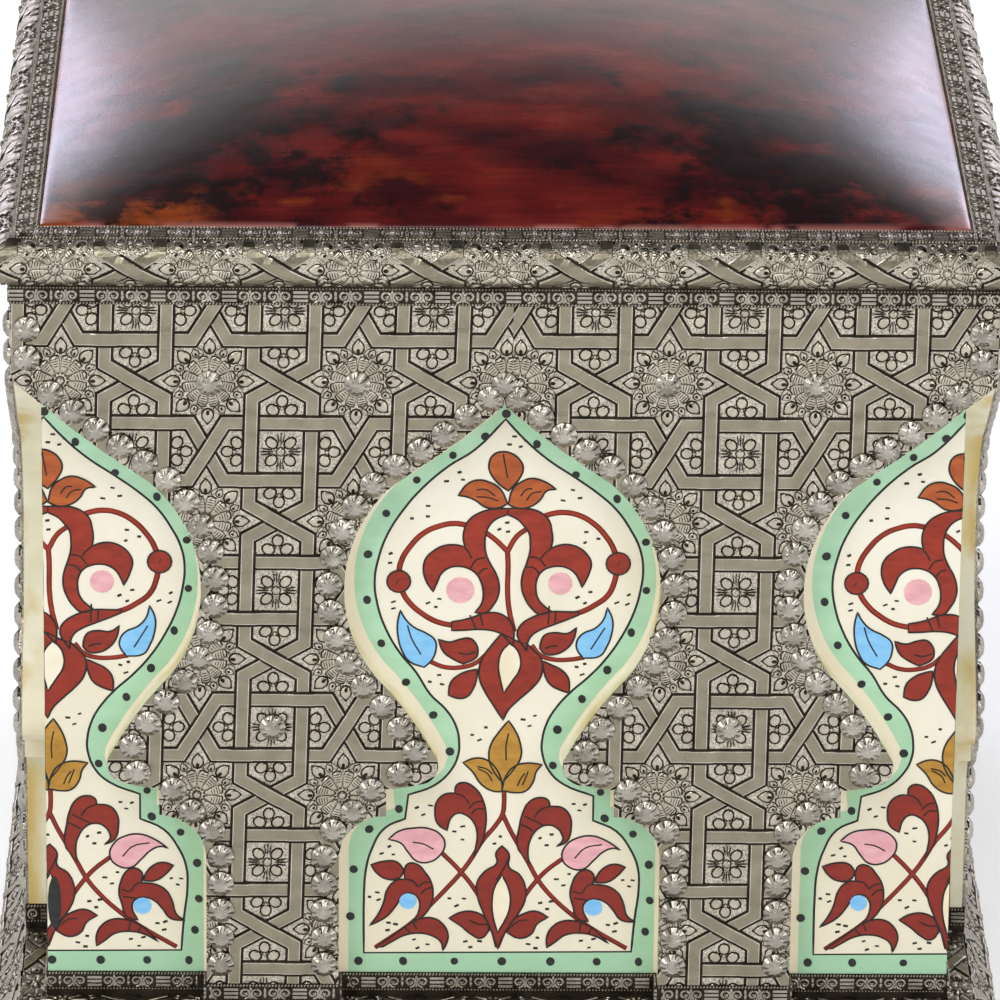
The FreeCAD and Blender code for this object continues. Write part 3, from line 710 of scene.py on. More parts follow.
RUST_LEAVES = (
    "2.3,290! -2.1,293.5 -5.9,299.1 -6.3,303 -4.5,307 -0.8,308.6 3.6,307.8 7.3,304.7 8.8,300.7 6.7,295.2",
    "-19.8,287.7! -15.4,293.5 -11,295.1 -6.6,294.3 -1.4,291.1 2,284! -1.3,282 -7.2,282 -12.4,285.5 -16.1,287.1",
    "23.5,290.9! 18.5,294.4 12.6,296 8.2,294.4 4.5,291.2 2.4,283.6! 6.8,281.7 12,282.5 16.4,285.7 19.3,290.1")
RED_SHAPES = (
    "2.4,281.6! -5,281.2 -10.8,279.2 -14.9,276 -16.8,272 -17.4,267.2 -16.6,263.2! -21,264.1 -26.2,263.6 "
    "-30.6,261.1 -33.9,257.5 -35,252.7 -33.9,247.1 -30.6,241.5! -28.7,246.3 -26.9,250.4 -23.2,253.2 -19.5,253.8 "
    "-15,252.8 -11.3,250 -9.1,245.6 -8.3,240.8 -9,236 -11.9,231.6! -7.1,231.6 -3.8,235.2 -1.6,240.1 -1.3,244.9 "
    "-2.8,250.5 -5.4,255.3 -7.3,260.1 -7.8,264.8 -7.4,269.6 -6,273.2 -3.1,276.4 2.1,278.7!",
    "2.4,281.6! 9.1,281.7 14.2,280.9 17.9,278.9 20.6,275.8 21.7,271.4 22.2,266.6 21.5,262.6! 25.5,264.2 "
    "29.9,264.4 34.4,262.7 37.8,259.5 39.5,255.5 38.6,250.7 35.6,243.9! 34.2,247.5 32,251.1 28.6,253.4 24.9,254.1 "
    "20.8,253.4 17.5,251.4 15.4,247.4 15.1,242.6 16.2,238.2 19.2,234.6 22.2,232.3! 17,230.9 13.3,233.7 10.3,238.5 "
    "8.7,244.1 9,249.7 10.8,255.4 12.2,261 12.3,265.7 11.8,269.7 9.5,273.3 6.5,276.5 2.1,278.7!",
    "-22.2,227.1! -17.8,227.9 -13.3,229.2 -8.2,231.2 -3,231.6 0.7,230.4 3.7,227.6 5.3,224 5.5,219.2 5,215.8! "
    "2.7,218.4 0.1,221.2 -3.6,222.8 -10.3,223.5 -16.3,223.1 -22.2,222.9!",
    "34.5,232.1! 28.2,232.2 22.2,232.2 17,230.9 12.6,228.9 8.9,226.1 7.1,222.4 7.5,219.2 9.4,216 11.3,213.2! "
    "11.6,216.8 13.5,220.7 17.1,223.3 22.3,225.6 28.2,228 34.1,230.6!",
    "-28.1,218.6! -22.9,217.3 -18.4,218.7 -14,219.1 -11.4,216.7 -10.4,212.3 -11.3,209.8 -16.9,206.8! -21.3,209 "
    "-25.8,212.6",
    "33.5,224.6! 29.4,221.7 23.8,222.1 19.4,220.9 17.6,217.6 17.2,214.4! 19.5,211.8 24,211.6 28.4,213.7 "
    "31.7,217.7",
    "-10.7,204.2! -14.6,203.4 -19,201.3 -22.4,197.7 -23.4,191.6! -19,190 -15.2,190.8 -12.3,194.9 -10.9,199.7",
    "18.4,208.4! 22.5,206.4 27,204 30.1,199.9 30.5,192.9! 26.4,194.3 21.9,197.1 19.6,201.5",
    "0.1,221.6! -4.3,215.9 -8,210.3 -9.8,204.6 -9.4,198.9 -7.1,193.3 -3.3,186.8 1.1,179.5! 3.4,184.4 7.9,189.3 "
    "13.8,195 17.4,199.9 18.5,205.5 17.7,209.6 14.3,213.6 11.7,216.4! 7.6,217.6 4.6,219.2",
    "-11.7,111.7! -10.4,117.7 -10,124.6 -11.9,130 -15,132.9 -18.6,133.9 -21.8,131.4 -23.5,125.3! -27.6,128.4 "
    "-29,134.3 -28.1,139.7 -24.5,143.2 -20.1,143.7! -19.4,147.6 -16.1,148.9 -11.1,146.2 -7.5,140.3 -6,132.5 "
    "-6.4,125.6 -7.4,120.1!",
    "13.6,108.9! 13,115.8 14.3,121.7 17.9,126.7 22.3,128.2 26,126.7 28.3,123.3 28.6,120.8 25.9,117.6! 30.5,120.3 "
    "32.3,126.7 31.7,132.6 28.5,136.6 22.7,137.5! 21.7,140.5 17.7,141.7 13.2,139.4 10.6,134.5 8.9,126.6 8,119.7 "
    "8.8,115.8!",
    "-57.6,108.3! -51.3,110.1 -45.9,109.6 -42.7,105.6! -45,101.7 -50.4,101.2 -54.9,104.1",
    "-42.7,105.3! -41,108.8 -36.9,108.6 -33.3,104.7 -30.5,99.8 -29.6,93.8 -30.4,88.8 -34,82.9 -39,79.4! "
    "-35.8,85.8 -36.3,91.8 -39.5,94.3 -43.1,93.3 -45.8,88.8 -50.3,82.8 -58.2,78! -54.8,82.8 -52.1,88.7 -49.9,96.7 "
    "-45.9,100.7 -42.4,101.2!",
    "-55.6,67.1! -46.6,73.9 -40.3,78.9 -35.8,81.4 -29.5,81.9 -25,78.9 -22.7,74 -23.1,70 -24.9,65.8! -25.8,70 "
    "-29.4,72.9 -34.9,74.4 -42.1,73.4 -48.4,69.9 -52,67.6!",
    "57,107.6! 52.3,109 47.8,107.5 44.3,103.1 43.5,99.9! 48.9,100.1 53.3,103.1",
    "42.6,99.6! 42.7,103.9 38.8,106.2 35.3,104 33.1,99.1 32.3,94.1 33.7,88.1 35.6,82.2 40.8,80.4! 38.2,86.2 "
    "39.1,90.1 43.6,91.7 48.1,90.2 51.8,86.2 55.5,81.3 62,80.3! 58.2,83.3 56.2,90.2 53.5,95.2 48.9,98.1 "
    "42.7,98.9!",
    "22,67.4! 22.1,73.2 24.8,78.1 29.3,80.7 34.7,80.7 41.1,78.2 50.2,69.5! 43.8,73.3 37.5,74.7 30.3,73.7 "
    "25.8,70.2",
    "1.3,117.9! -1.4,114.2 -0.9,109.3 -6.2,105.3 -9.8,99.4 -9.5,92.9 -6.9,85 -3.2,76 -0.2,66.6! 2.2,73.1 7.6,82.1 "
    "12,91 11.9,98 9.1,103.9 4.6,107.3 4.5,113.8",
    "-22.3,81.9! -16.9,84.9 -10.5,85 -6,82 -4.1,76! -7.7,72 -12.3,74 -16.8,78",
    "22.5,82.6! 16.6,85.6 11.1,84.1 6.7,81.1 4,74.9! 9.5,72.1 14.9,74.1 17.5,79.1")
CREAM_HOLES = (
    "3.5,216.8! 0.2,212.7 -1.2,206.3 -0.4,199.8 1.3,192.7! 4.8,198.2 8.4,204.7 8.4,210.3 6.2,214.8",
    "1.5,103.4! -1.6,97.9 -2.9,91 -2.4,83 -0.3,74.9! 3,81 5.2,88 4.7,95.9")
OCHRE_LEAVES = (
    "3.6,179.3! -0.6,173.7 -4.1,167.8 -5,160.9 -3.1,155.1 1,149! 5.9,155.1 9.4,162 8.8,168.8 6.5,174.7",
    "-16.6,158.7! -11.2,160.9 -5.9,160 -1.3,155.1 1,148.2 1,144.5! -3,144.8 -8.4,148.2 -12.1,154",
    "18.8,157.9! 12.1,158.6 6.7,157.1 2.7,152.2 1,145.1! 6.9,144.1 11.4,144.8 14.9,149.3 16.2,154.2")
BLUE_LEAVES = (
    "-45.1,232.6! -46.3,226.2 -45.9,218.9 -44,212.5 -40.7,207.7 -34.3,205.1! -31,208.5 -29.2,213.4 -29.6,218.2 "
    "-33.3,221.4 -39.3,224.6 -43,228.6",
    "47,234.3! 49.4,228.3 49.1,221.8 47,215.4 44,210.9 36.6,209.8! 33.6,214.5 33.9,218.5 36.5,221.8 41.6,224.2 "
    "45.3,228.3")
PINK_LEAVES = (
    "-49.8,120.9! -45.1,124.9 -38.8,126.4 -31.6,126.2 -26.2,123 -24.4,118.6 -26.6,113.1 -31.5,109.7 -36.9,110.1 "
    "-41,114.6 -44.2,119",
    "54.7,116! 47.6,120.9 41.3,123 35,121.8 30.6,118.8 28.4,111.9 32.5,107 37.9,106.5 42.4,110.5 46.8,115 "
    "51.3,116.9")
STEMS = (
    (1.3, "-16.3,273.6 -21.1,274.3 -27.8,273.1 -35.1,269.5 -41,263.1 -44.6,256.7 -45.7,251.1 -44.2,241.5 "
          "-40.8,235.9 -35.6,231.1 -28.9,227.1 -20.7,225.1"),
    (1.3, "16.1,276.9 20.9,278.9 26.8,279.8 33.4,278.6 40.1,274.7 45.4,269.1 49.2,262.7 50.9,255.6 49.5,245.1 "
          "46.6,239.5 41.5,235.5 35.6,232.2 29.7,230.6"),
    (1.2, "-7.4,270 -2.6,266.1 2.3,260.9!"),
    (1.2, "11,272.1 6.2,268.1 2.3,260.9! 2.6,253.7 2.5,241.7 3.3,232.9 5.6,222.4"),
    (1.1, "-31.4,207.7 -25.8,205.3 -18.3,205 -11.7,207 -6.5,211.5"),
    (1.1, "37,210.1 30,209 22.5,209.2 17.3,211.2 13.5,216"),
    (1.1, "1.9,145.3 2,138.4 1.4,133.5 -1.9,127.6 -7.3,120.6 -11.7,112.7 -16.1,105.8 -24.2,95.8 -31.3,87.8 "
          "-37.6,80.9 -55.6,67.1"),
    (1.1, "1.4,133.5 4.4,126.6 9,117.7 13.6,108.9 17.7,101 23.7,93.1 32.8,84.2 42,77.2 58.2,67.1"),
    (1.1, "-26.1,114.6 -17.9,105.8 -10.6,95.9 -5.1,85 -0.3,67.6"),
    (1.1, "28.4,111.4 21.7,105.9 17.3,101 11.1,92 4.9,81 -0.3,67.6"))
VEINS = (
    "-13.9,253.2 -11.7,256.8 -7.7,258.1", "-10.6,250 -8.4,252.5 -6.2,252.9", "-16.8,262.8 -15.1,260.8 -13.6,257.6",
    "12.3,258.6 16,257.8 19.4,253.8", "10.1,253.3 13.8,253.4 16.4,250.6", "21.5,262.6 18.9,260.2 17.1,257.8",
    "-14.1,230.4 -11.4,223.8", "-9.7,230.8 -8.3,225.4", "21.1,235 20.7,226.1", "24.1,231.8 23.8,226.9",
    "-47.2,245.1 -45.7,247.1", "51.2,254.4 52.2,256.8", "-0.1,307.4 1.9,296.3", "-11.8,290.3 -8,290.7 -3.5,287.6",
    "-11.7,287.1 -6.5,286.8 -2.1,285.2", "7.9,287.6 10.4,290.8 13,291.2", "10.5,285.6 12.7,288.7 17.1,289.8",
    "-41.9,225.4 -40,219 -35.8,211.3", "46.1,224.6 39.9,214.1", "-19.1,212.2 -15.4,211.4 -11.3,212.7",
    "19.5,214.4 23.2,215.7 25.4,215.7", "3.7,173.2 2.6,166.8 2.8,160", "-10.1,156.8 -5.8,155.5 -3.3,153.1",
    "-9.8,155.8 -5.3,153.1 -3.5,149.7", "7.9,147.3 9.5,151.2 11.3,153.7", "10.2,147.8 12.2,153.2 12.7,154.7",
    "-20.1,143.7 -16.5,142.3 -13.7,138.3", "-13.7,136.4 -11,139.1 -7.9,139.8", "-12.8,133.4 -10.1,135.9 -7,135.9",
    "22.7,137.5 18.2,135.5 15.6,131.8", "11.5,132.5 14.2,131.1 19.6,128.2", "9.3,128.6 12.5,127.1 15.2,125.2",
    "-38.9,119.5 -34.3,118.7 -29.5,116.1", "34.1,111.9 38.7,116.9 46.3,118.7",
    "-42.4,101.2 -38.6,100.2 -36.4,97.3", "-36.1,97.3 -33.7,99.5 -31.2,99.6", "-35,93.8 -32.8,96.3 -30.1,97",
    "-42.6,77.9 -39.8,74.7", "-38.5,79.9 -36.9,76.4", "33.6,95.6 37.2,94.6 39.9,98.1 42.7,99.1",
    "34.1,92.1 37.3,91.6 40,91.1", "37.4,80.2 36.6,75", "42.4,77.7 40.7,74.4", "4.5,111.8 2.3,106.8 -1.2,100.9",
    "-13.2,81 -8.7,79 -5.1,79", "5.8,77.6 9.4,80.6 13.4,81.1")
DISCS = (("red", -45.9, 246.5, 5.2), ("red", 51.5, 255.4, 5.3), ("pink", -18.5, 242.4, 6.3),
         ("pink", 25.9, 245.8, 5.4), ("blue", -40.9, 90.3, 3.9), ("blue", 42.9, 87.5, 4.1))
BLACK_DOTS = ("1.1,326.6 -8.1,315.8 14.7,312.3 -22.3,306.8 32.1,297.8 -38.2,295 50.5,286.4 -51.6,279 63.6,265.8 "
              "-59.6,259.4 64.2,242.6 -59.9,237.5 57.8,222.3 -53.5,216.6 47.4,204.1 -42.4,197.8 36.3,190 -30.1,181.9 "
              "25.5,175 -22.5,164.1 23.7,157.5 45.3,144.4 -45.2,135.8 47.3,131.6 -58.5,125.8 60.2,123.9 67.6,108.8 "
              "-65.4,106 68.3,91.1 -66.8,82.7 66.5,75.6 -63.1,60.5 -42.9,60.5 -19.7,60.5 1.8,60.5 23.8,60.5 44.8,60.5 "
              "63.7,60.5")
TICKS = (
    "-19.3,298.7 -25,294.4 -17.8,295.2 -33.1,282.6 -40.2,276.6 -33.2,277.6 -49.5,259.8 -49.8,255.3 30.9,290.5 "
    "26.6,285.5 34.1,286.7 37.1,270.5 36.6,265.4 42.5,267.3 2,274.8 -1.5,271.6 2.4,270.5 39.3,241.7 33.6,239.1 "
    "37,236.4 -32.8,236.1 -27.8,238.1 -29.3,234.2 -48.2,236.6 -48.2,233.4 51.1,236.6 56.4,240.4 55.9,235.9 "
    "-27.6,201.3 -31.8,198 -26.3,196.8 33.7,205.5 37.3,207 36.2,201.8 -6.5,175.9 -12.6,172.2 -9.3,169.7 "
    "10.1,179.8 15.4,181.7 13,176.7 -37.1,136.5 -31,137.5 -34.2,133 -16.5,127.3 -20.2,124.8 -16.5,120.8 "
    "33.3,138.6 38.4,138.3 35.9,135.4 0.5,122.4 -2.1,118.9 18.4,121.7 23.6,123.5 21.4,118.2 -49.4,117.3 "
    "-52.9,113.8 -47.6,113.3 -54.7,94.5 -58.2,92.3 -54.1,90.9 -22.2,91.7 -15.6,91.6 -18.9,88.1 26,101.4 31.7,104 "
    "29.2,98.4 55.9,101.1 60.4,101 58.8,98 18.9,89.6 23.7,90.4 22,86.6 -49.6,79.5 -46.4,78.8 -50,75.8 49.6,78.8 "
    "53.1,79.6 52.6,75.6 -38,71.2 -31.9,68.8 -36.4,67 -14.8,70.3 -8.4,70.5 -12.5,67.5 13.6,69.1 17.8,72.3 17,67.1 "
    "37.5,70.9 43.2,71.8 41.2,67.5 "
    "4.8,315.8 9.8,313.9 2.6,312 7.6,311")
PAINTS = ("black", "green", "red", "rust", "ochre", "blue", "pink", "cream")


def drawn(text):
    """Points of a drawn line, each with whether it is a sharp one."""
    pairs = [word.rstrip("!").split(",") + [word.endswith("!")] for word in text.split()]
    return [(float(x), float(z), sharp) for x, z, sharp in pairs]


def spline_on(curve, points, closed):
    line = curve.splines.new("BEZIER")
    line.bezier_points.add(len(points) - 1)
    line.use_cyclic_u = closed
    for knot, (x, y, sharp) in zip(line.bezier_points, points):
        knot.co = (x, y, 0)
        knot.handle_left_type = knot.handle_right_type = "VECTOR" if sharp else "AUTO"


def meshed(curve):
    obj = bpy.data.objects.new("drawn", curve)
    bpy.context.scene.collection.objects.link(obj)
    only(obj)
    bpy.ops.object.convert(target="MESH")
    return lift()


PAINT_THICK = 0.12
STROKE_THICK = 0.105


def patch_of(lines):
    """A filled patch of paint inside a closed line; a second line leaves a hole."""
    curve = bpy.data.curves.new("patch", "CURVE")
    curve.dimensions, curve.fill_mode, curve.resolution_u = "2D", "BOTH", 4
    curve.extrude = PAINT_THICK / 2
    for points in lines:
        spline_on(curve, points, True)
    return meshed(curve)


def stroke_of(points, radius, closed=False):
    """A brush stroke along a line: a thin tube pressed flat."""
    curve = bpy.data.curves.new("stroke", "CURVE")
    curve.dimensions, curve.resolution_u, curve.bevel_resolution = "3D", 4, 0
    curve.bevel_depth, curve.use_fill_caps = radius, True
    spline_on(curve, points, closed)
    mesh = meshed(curve)
    mesh.transform(Matrix.Diagonal((1, 1, STROKE_THICK / radius, 1)))
    return mesh


def disc_of(radius, thick, sides=14):
    return pulled_up(sides, ((0, radius), (thick, radius)))


def arc_points(start, middle, end, steps):
    """Points on the circle through three points, from start to just before end."""
    (ax, ay), (bx, by), (cx, cy) = start, middle, end
    d = 2 * (ax * (by - cy) + bx * (cy - ay) + cx * (ay - by))
    a2, b2, c2 = ax * ax + ay * ay, bx * bx + by * by, cx * cx + cy * cy
    ux = (a2 * (by - cy) + b2 * (cy - ay) + c2 * (ay - by)) / d
    uy = (a2 * (cx - bx) + b2 * (ax - cx) + c2 * (bx - ax)) / d
    radius = math.hypot(ax - ux, ay - uy)
    angles = [math.atan2(y - uy, x - ux) for x, y in (start, middle, end)]
    sweep_on = (angles[2] - angles[0] + math.pi) % math.tau - math.pi
    return [(ux + radius * math.cos(angles[0] + sweep_on * k / steps),
             uy + radius * math.sin(angles[0] + sweep_on * k / steps)) for k in range(steps)]


def arch_line(inset):
    """The right flank of the opening from its point to its foot, drawn in by inset."""
    shares = ((0, 1), (0.340, 0.930), (0.665, 0.873), (0.966, 0.728), (0.775, 0.555), (0.510, 0.470), (0.392, 0.418),
              (0.407, 0.392), (0.479, 0.379))
    at = [(ARCH_HALF * a, PLINTH_TOP + ARCH_RISE * b) for a, b in shares]
    points = arc_points(*at[0:3], 8) + arc_points(*at[2:5], 14) + arc_points(*at[4:7], 6) + arc_points(*at[6:9], 4)
    step = [(ARCH_HALF * a, PLINTH_TOP + ARCH_RISE * b) for a, b in ((0.708, 0.370), (0.708, 0.326))]
    last = [(ARCH_HALF * a, PLINTH_TOP + ARCH_RISE * b) for a, b in ((0.708, 0.326), (0.917, 0.304), (1.0, 0.258))]
    points += [at[8]] + step[:1] + arc_points(*last, 5) + [last[2], (ARCH_HALF, FOOT_HIGH)]
    moved = []
    for i, (x, y) in enumerate(points):
        (ax, ay), (bx, by) = points[max(i - 1, 0)], points[min(i + 1, len(points) - 1)]
        size = math.hypot(bx - ax, by - ay) or 1
        moved.append((x + inset * (by - ay) / size, y - inset * (bx - ax) / size))
    moved[0] = (0, points[0][1] - 1.3 * inset)
    moved[-1] = (ARCH_HALF - inset, FOOT_HIGH)
    return moved


def niche_painting():
    """Everything painted in one niche, on the bench: patches, strokes, dots and ticks in their order of height."""
    right, left = arch_line(1.6), arch_line(4.4)
    edge = [(x, y, True) for x, y in right] + [(-x, y, True) for x, y in left[:0:-1]]
    inner = drawn(BORDER_LINE)
    parts = [(patch_of((edge, inner)), put(0, 0, up=0.04), PAINTS.index("green"))]
    parts.append((stroke_of(inner, 0.52, True), put(0, 0, up=0.10), 0))
    for radius, text in STEMS:
        parts.append((stroke_of(drawn(text), radius), put(0, 0, up=0.05), PAINTS.index("red")))
    groups = (("red", RED_SHAPES, 0.10), ("rust", RUST_LEAVES, 0.13), ("ochre", OCHRE_LEAVES, 0.13),
              ("blue", BLUE_LEAVES, 0.13), ("pink", PINK_LEAVES, 0.13), ("cream", CREAM_HOLES, 0.13))
    for colour, shapes, up in groups:
        for k, text in enumerate(shapes):
            points = drawn(text)
            level = up + 0.012 * (k % 4)
            parts.append((patch_of((points,)), put(0, 0, up=level), PAINTS.index(colour)))
            parts.append((stroke_of(points, 0.42, True), put(0, 0, up=level + 0.07), 0))
    for text in VEINS:
        parts.append((stroke_of(drawn(text), 0.34), put(0, 0, up=0.24), 0))
    for colour, x, y, radius in DISCS:
        parts.append((disc_of(radius, 0.28), put(x, y), PAINTS.index(colour)))
        if colour == "red":
            ring = [(x + radius * math.cos(a), y + radius * math.sin(a), False) for a in (0, 1.57, 3.14, 4.71)]
            parts.append((stroke_of(ring, 0.45, True), put(0, 0, up=0.26), 0))
    dot = disc_of(1.9, 0.22, 10)
    for x, y, _ in drawn(BLACK_DOTS):
        parts.append((dot, put(x, y, dice.uniform(0, 40), dice.uniform(0.9, 1.1), dice.uniform(0.9, 1.15)), 0))
    tick = stroke_of(((-1.0, 0, True), (1.0, 0, True)), 0.52)
    for x, y, _ in drawn(TICKS):
        place = put(x, y, dice.uniform(-12, 28), dice.uniform(0.75, 1.15), dice.uniform(0.8, 1.2), 1, 0.06)
        parts.append((tick, place, 0))
    return gather("painting", parts)


def half_of(mesh, side):
    """The part of the painting on one side of its middle line, moved to the corner of the stool."""
    only(piece("half", mesh.copy(), []))
    edit()
    bpy.ops.mesh.bisect(plane_co=(0, 0, 0), plane_no=(side, 0, 0), clear_inner=True, use_fill=False)
    bpy.ops.object.mode_set(mode="OBJECT")
    half = lift()
    half.transform(Matrix.Translation((-side * CORE, 0, 0)))
    return half


def make_paintings():
    whole = niche_painting()
    flat = Matrix.Identity(4)
    halves = [(half_of(whole, side), flat, None) for side in (1, -1)]
    blot = (disc_of(1.0, 0.45), put(3.2 - CORE, 89, 0, 3.0, 13), PAINTS.index("black"))
    mesh = gather("painting", [(whole, flat, None), blot] + halves)
    mesh.transform(upright(CORE))
    on_sides("painted_arabesque", mesh, [line_paint, green_paint, red_paint, rust_paint, ochre_paint, blue_paint,
                                         pink_paint, jamb_paint], "box")


# Scrollwork bands, the nose of the lid and the plinth

SCROLL_PITCH = 31.0
BEAD_PITCH = 1.45
WIRE_SECTION = ((-0.62, SUNK), (-0.42, 0.62), (0.0, 0.85), (0.42, 0.62), (0.62, SUNK))
BAR_SECTION = ((-0.72, SUNK), (-0.60, 0.60), (0.60, 0.60), (0.72, SUNK))
BEAD = raised(5, ((SUNK, 1.0), (0.55, 0.9), (0.85, 0.35)), None, 0)
SPUR = raised(6, ((SUNK, 1.0), (0.5, 0.9), (0.8, 0.35)), leaf_shape, 0)
BAR = sweep(((-3.2, 0, 0), (3.2, 0, 0)), BAR_SECTION, ())


CURL_TURNS = 1.35
CURL_STEPS = 13


def curl_path(hand):
    """A volute that winds inwards, as points on the bench."""
    path = []
    for k in range(CURL_STEPS + 1):
        angle = -math.pi / 2 + hand * math.tau * CURL_TURNS * k / CURL_STEPS
        radius = 2.45 - 1.75 * k / CURL_STEPS
        path.append((radius * math.cos(angle), radius * math.sin(angle), 0.0))
    return path


CURLS = {hand: sweep(curl_path(hand), WIRE_SECTION, ()) for hand in (-1, 1)}


def scroll_parts(low, high, rope_at, middle, bead_at, tall=1.0):
    """Bars, curls and buds between a rope edge and a row of beads, from low to high along the band."""
    parts = []
    for k in range(math.floor(low / SCROLL_PITCH), math.ceil(high / SCROLL_PITCH) + 1):
        start = k * SCROLL_PITCH
        group = [(BAR, put(3.5, 1.9 * row), None) for row in (-1, 0, 1)]
        for hand, x in ((1, 9.6), (-1, 15.2), (1, 22.4), (-1, 28.0)):
            group.append((CURLS[hand], put(x, 0, 0, 1.12, 1.1), None))
            group.append((BEAD, put(x, 0, 0, 0.6, 0.6), None))
        for x in (12.4, 25.2):
            group += [(SPUR, put(x, 1.9 * lean, 90 - 90 * lean, 1.0, 1.3), None) for lean in (-1, 1)]
        group += [(SPUR, put(18.8, 1.1 * lean, 90 - 90 * lean, 1.0, 1.8), None) for lean in (-1, 1)]
        shift = Matrix.Translation((start, middle, 0)) @ Matrix.Diagonal((1, tall, 1, 1))
        parts += laid(shift, group)
    parts = [part for part in parts if low + 1.5 < part[1].translation.x < high - 1.5]
    for k in range(int((high - low) / BEAD_PITCH)):
        x = low + BEAD_PITCH * (k + 0.5)
        parts.append((BEAD, put(x, rope_at, -35, 0.52, 0.95), None))
        parts.append((BEAD, put(x, bead_at, 0, 0.56, 0.56), None))
    return parts


def keep_side(mesh, normals):
    """Cuts a mesh by planes through the stool's middle axis and keeps what lies behind them, for the mitres."""
    bm = bmesh.new()
    bm.from_mesh(mesh)
    for normal in normals:
        cut(bm, (0, 0, 0), normal)
    bm.to_mesh(mesh)
    bm.free()
    return mesh


MITRES = ((1, 1, 0), (-1, 1, 0))


def leave_bare(mesh, spans, low, high):
    """Clears a mesh, in metres, between each pair of x and between two heights: hinges, piers."""
    bm = bmesh.new()
    bm.from_mesh(mesh)
    cuts = [((x * MM, 0, 0), (1, 0, 0)) for span in spans for x in span]
    cuts += [((0, 0, z * MM), (0, 0, 1)) for z in (low, high)]
    for place, normal in cuts:
        cut(bm, place, normal, clear=False)
    gone = []
    for face in bm.faces:
        at = face.calc_center_median() / MM
        if low < at.z < high and any(start < at.x < end for start, end in spans):
            gone.append(face)
    bmesh.ops.delete(bm, geom=gone, context="FACES")
    bm.to_mesh(mesh)
    bm.free()
    return mesh


def wrap(mesh, profile):
    """Bends a flat strip over a moulding: profile gives, for a height on the strip, the place and the normal."""
    for vertex in mesh.vertices:
        out, z, away, up = profile(vertex.co.y)
        rise = vertex.co.z
        vertex.co = Vector((vertex.co.x, -(out + rise * away), z + rise * up)) * MM
    return mesh


NOSE_OUT = LID_HALF - NOSE_ROOT
NOSE_LOW, NOSE_HIGH = (corner.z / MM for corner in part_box("nose_sheet_front"))
NOSE_HALF = (NOSE_HIGH - NOSE_LOW) / 2
NOSE_GIRTH = 16.0     # half the way round it


def nose_profile(v):
    """The half round nose of the lid; v runs that far each way from its middle."""
    angle = math.radians(90 * v / NOSE_GIRTH)
    away, up = math.cos(angle) / NOSE_OUT, math.sin(angle) / NOSE_HALF
    size = math.hypot(away, up)
    return (NOSE_ROOT + NOSE_OUT * math.cos(angle), (NOSE_LOW + NOSE_HIGH) / 2 + NOSE_HALF * math.sin(angle),
            away / size, up / size)


FOOT_HALF = 232.0
FLARE_HIGH = 19.5     # where the flat strip's upper edge lands on the flare's top
TOE_RUN, TOE_PITCH = 231, 2.2
TOE = (FOOT_HALF, 8.0)
FLARE = arc_points((WALL, PLINTH_TOP), (220.48, 25.25), TOE, 12) + [TOE, (FOOT_HALF, 0.6)]


def flare_profile(v):
    """The hollow flare of the plinth, from its top down to the floor as v falls."""
    left = FLARE_HIGH - v
    for (ax, az), (bx, bz) in zip(FLARE, FLARE[1:]):
        size = math.hypot(bx - ax, bz - az)
        if left <= size or (bx, bz) == FLARE[-1]:
            share = left / size
            return ax + share * (bx - ax), az + share * (bz - az), (az - bz) / size, (bx - ax) / size
        left -= size


def tile_strip(offset, pitch, low, high, steps):
    """A row of rosettes with the crossings between them, cut off at low and at high, in steps that can bend."""
    parts = []
    count = math.ceil(LID_HALF / pitch) + 1
    for row in (-HALF_TILE, HALF_TILE):
        for k in range(-count, count):
            shift = Matrix.Translation((offset - pitch / 2 + k * pitch, row, 0))
            scale = Matrix.Diagonal((pitch / (2 * HALF_TILE), 1, 1, 1))
            for mesh, matrix, number in tile(False):
                placed = shift @ scale @ matrix
                if mesh is STRAP or low - 2 < placed.translation.y < high + 2:
                    parts.append((mesh, placed, number))
    bm = bmesh.new()
    flat = gather("strip", parts)
    bm.from_mesh(flat)
    bpy.data.meshes.remove(flat)
    for level, side in ((high, 1), (low, -1)):
        cut(bm, (0, level, 0), (0, side, 0))
    for k in range(1, steps):
        cut(bm, (0, low + (high - low) * k / steps, 0), (0, 1, 0), clear=False)
    return settled(bm, "strip")


TOP_ROWS = (382.7, 386.2, 389.8)     # heights of the rope, the curls and the beads
FOOT_ROWS = (54.2, 50.4, 46.7)
BORDER_ROWS = (-4.9, -0.1, 4.8)      # across the seat border, outwards from its middle line
BORDER_AT = (0, -209.5, 412.37)
BORDER_SLOPE = math.atan2(1.7, 11.0)
REVEAL_AT = -210.1                   # y, midway along the side of a pier
RAISED = 0.7                         # a band stands that far out from what it lies on


def laid(where, parts):
    return [(mesh, where @ matrix, number) for mesh, matrix, number in parts]


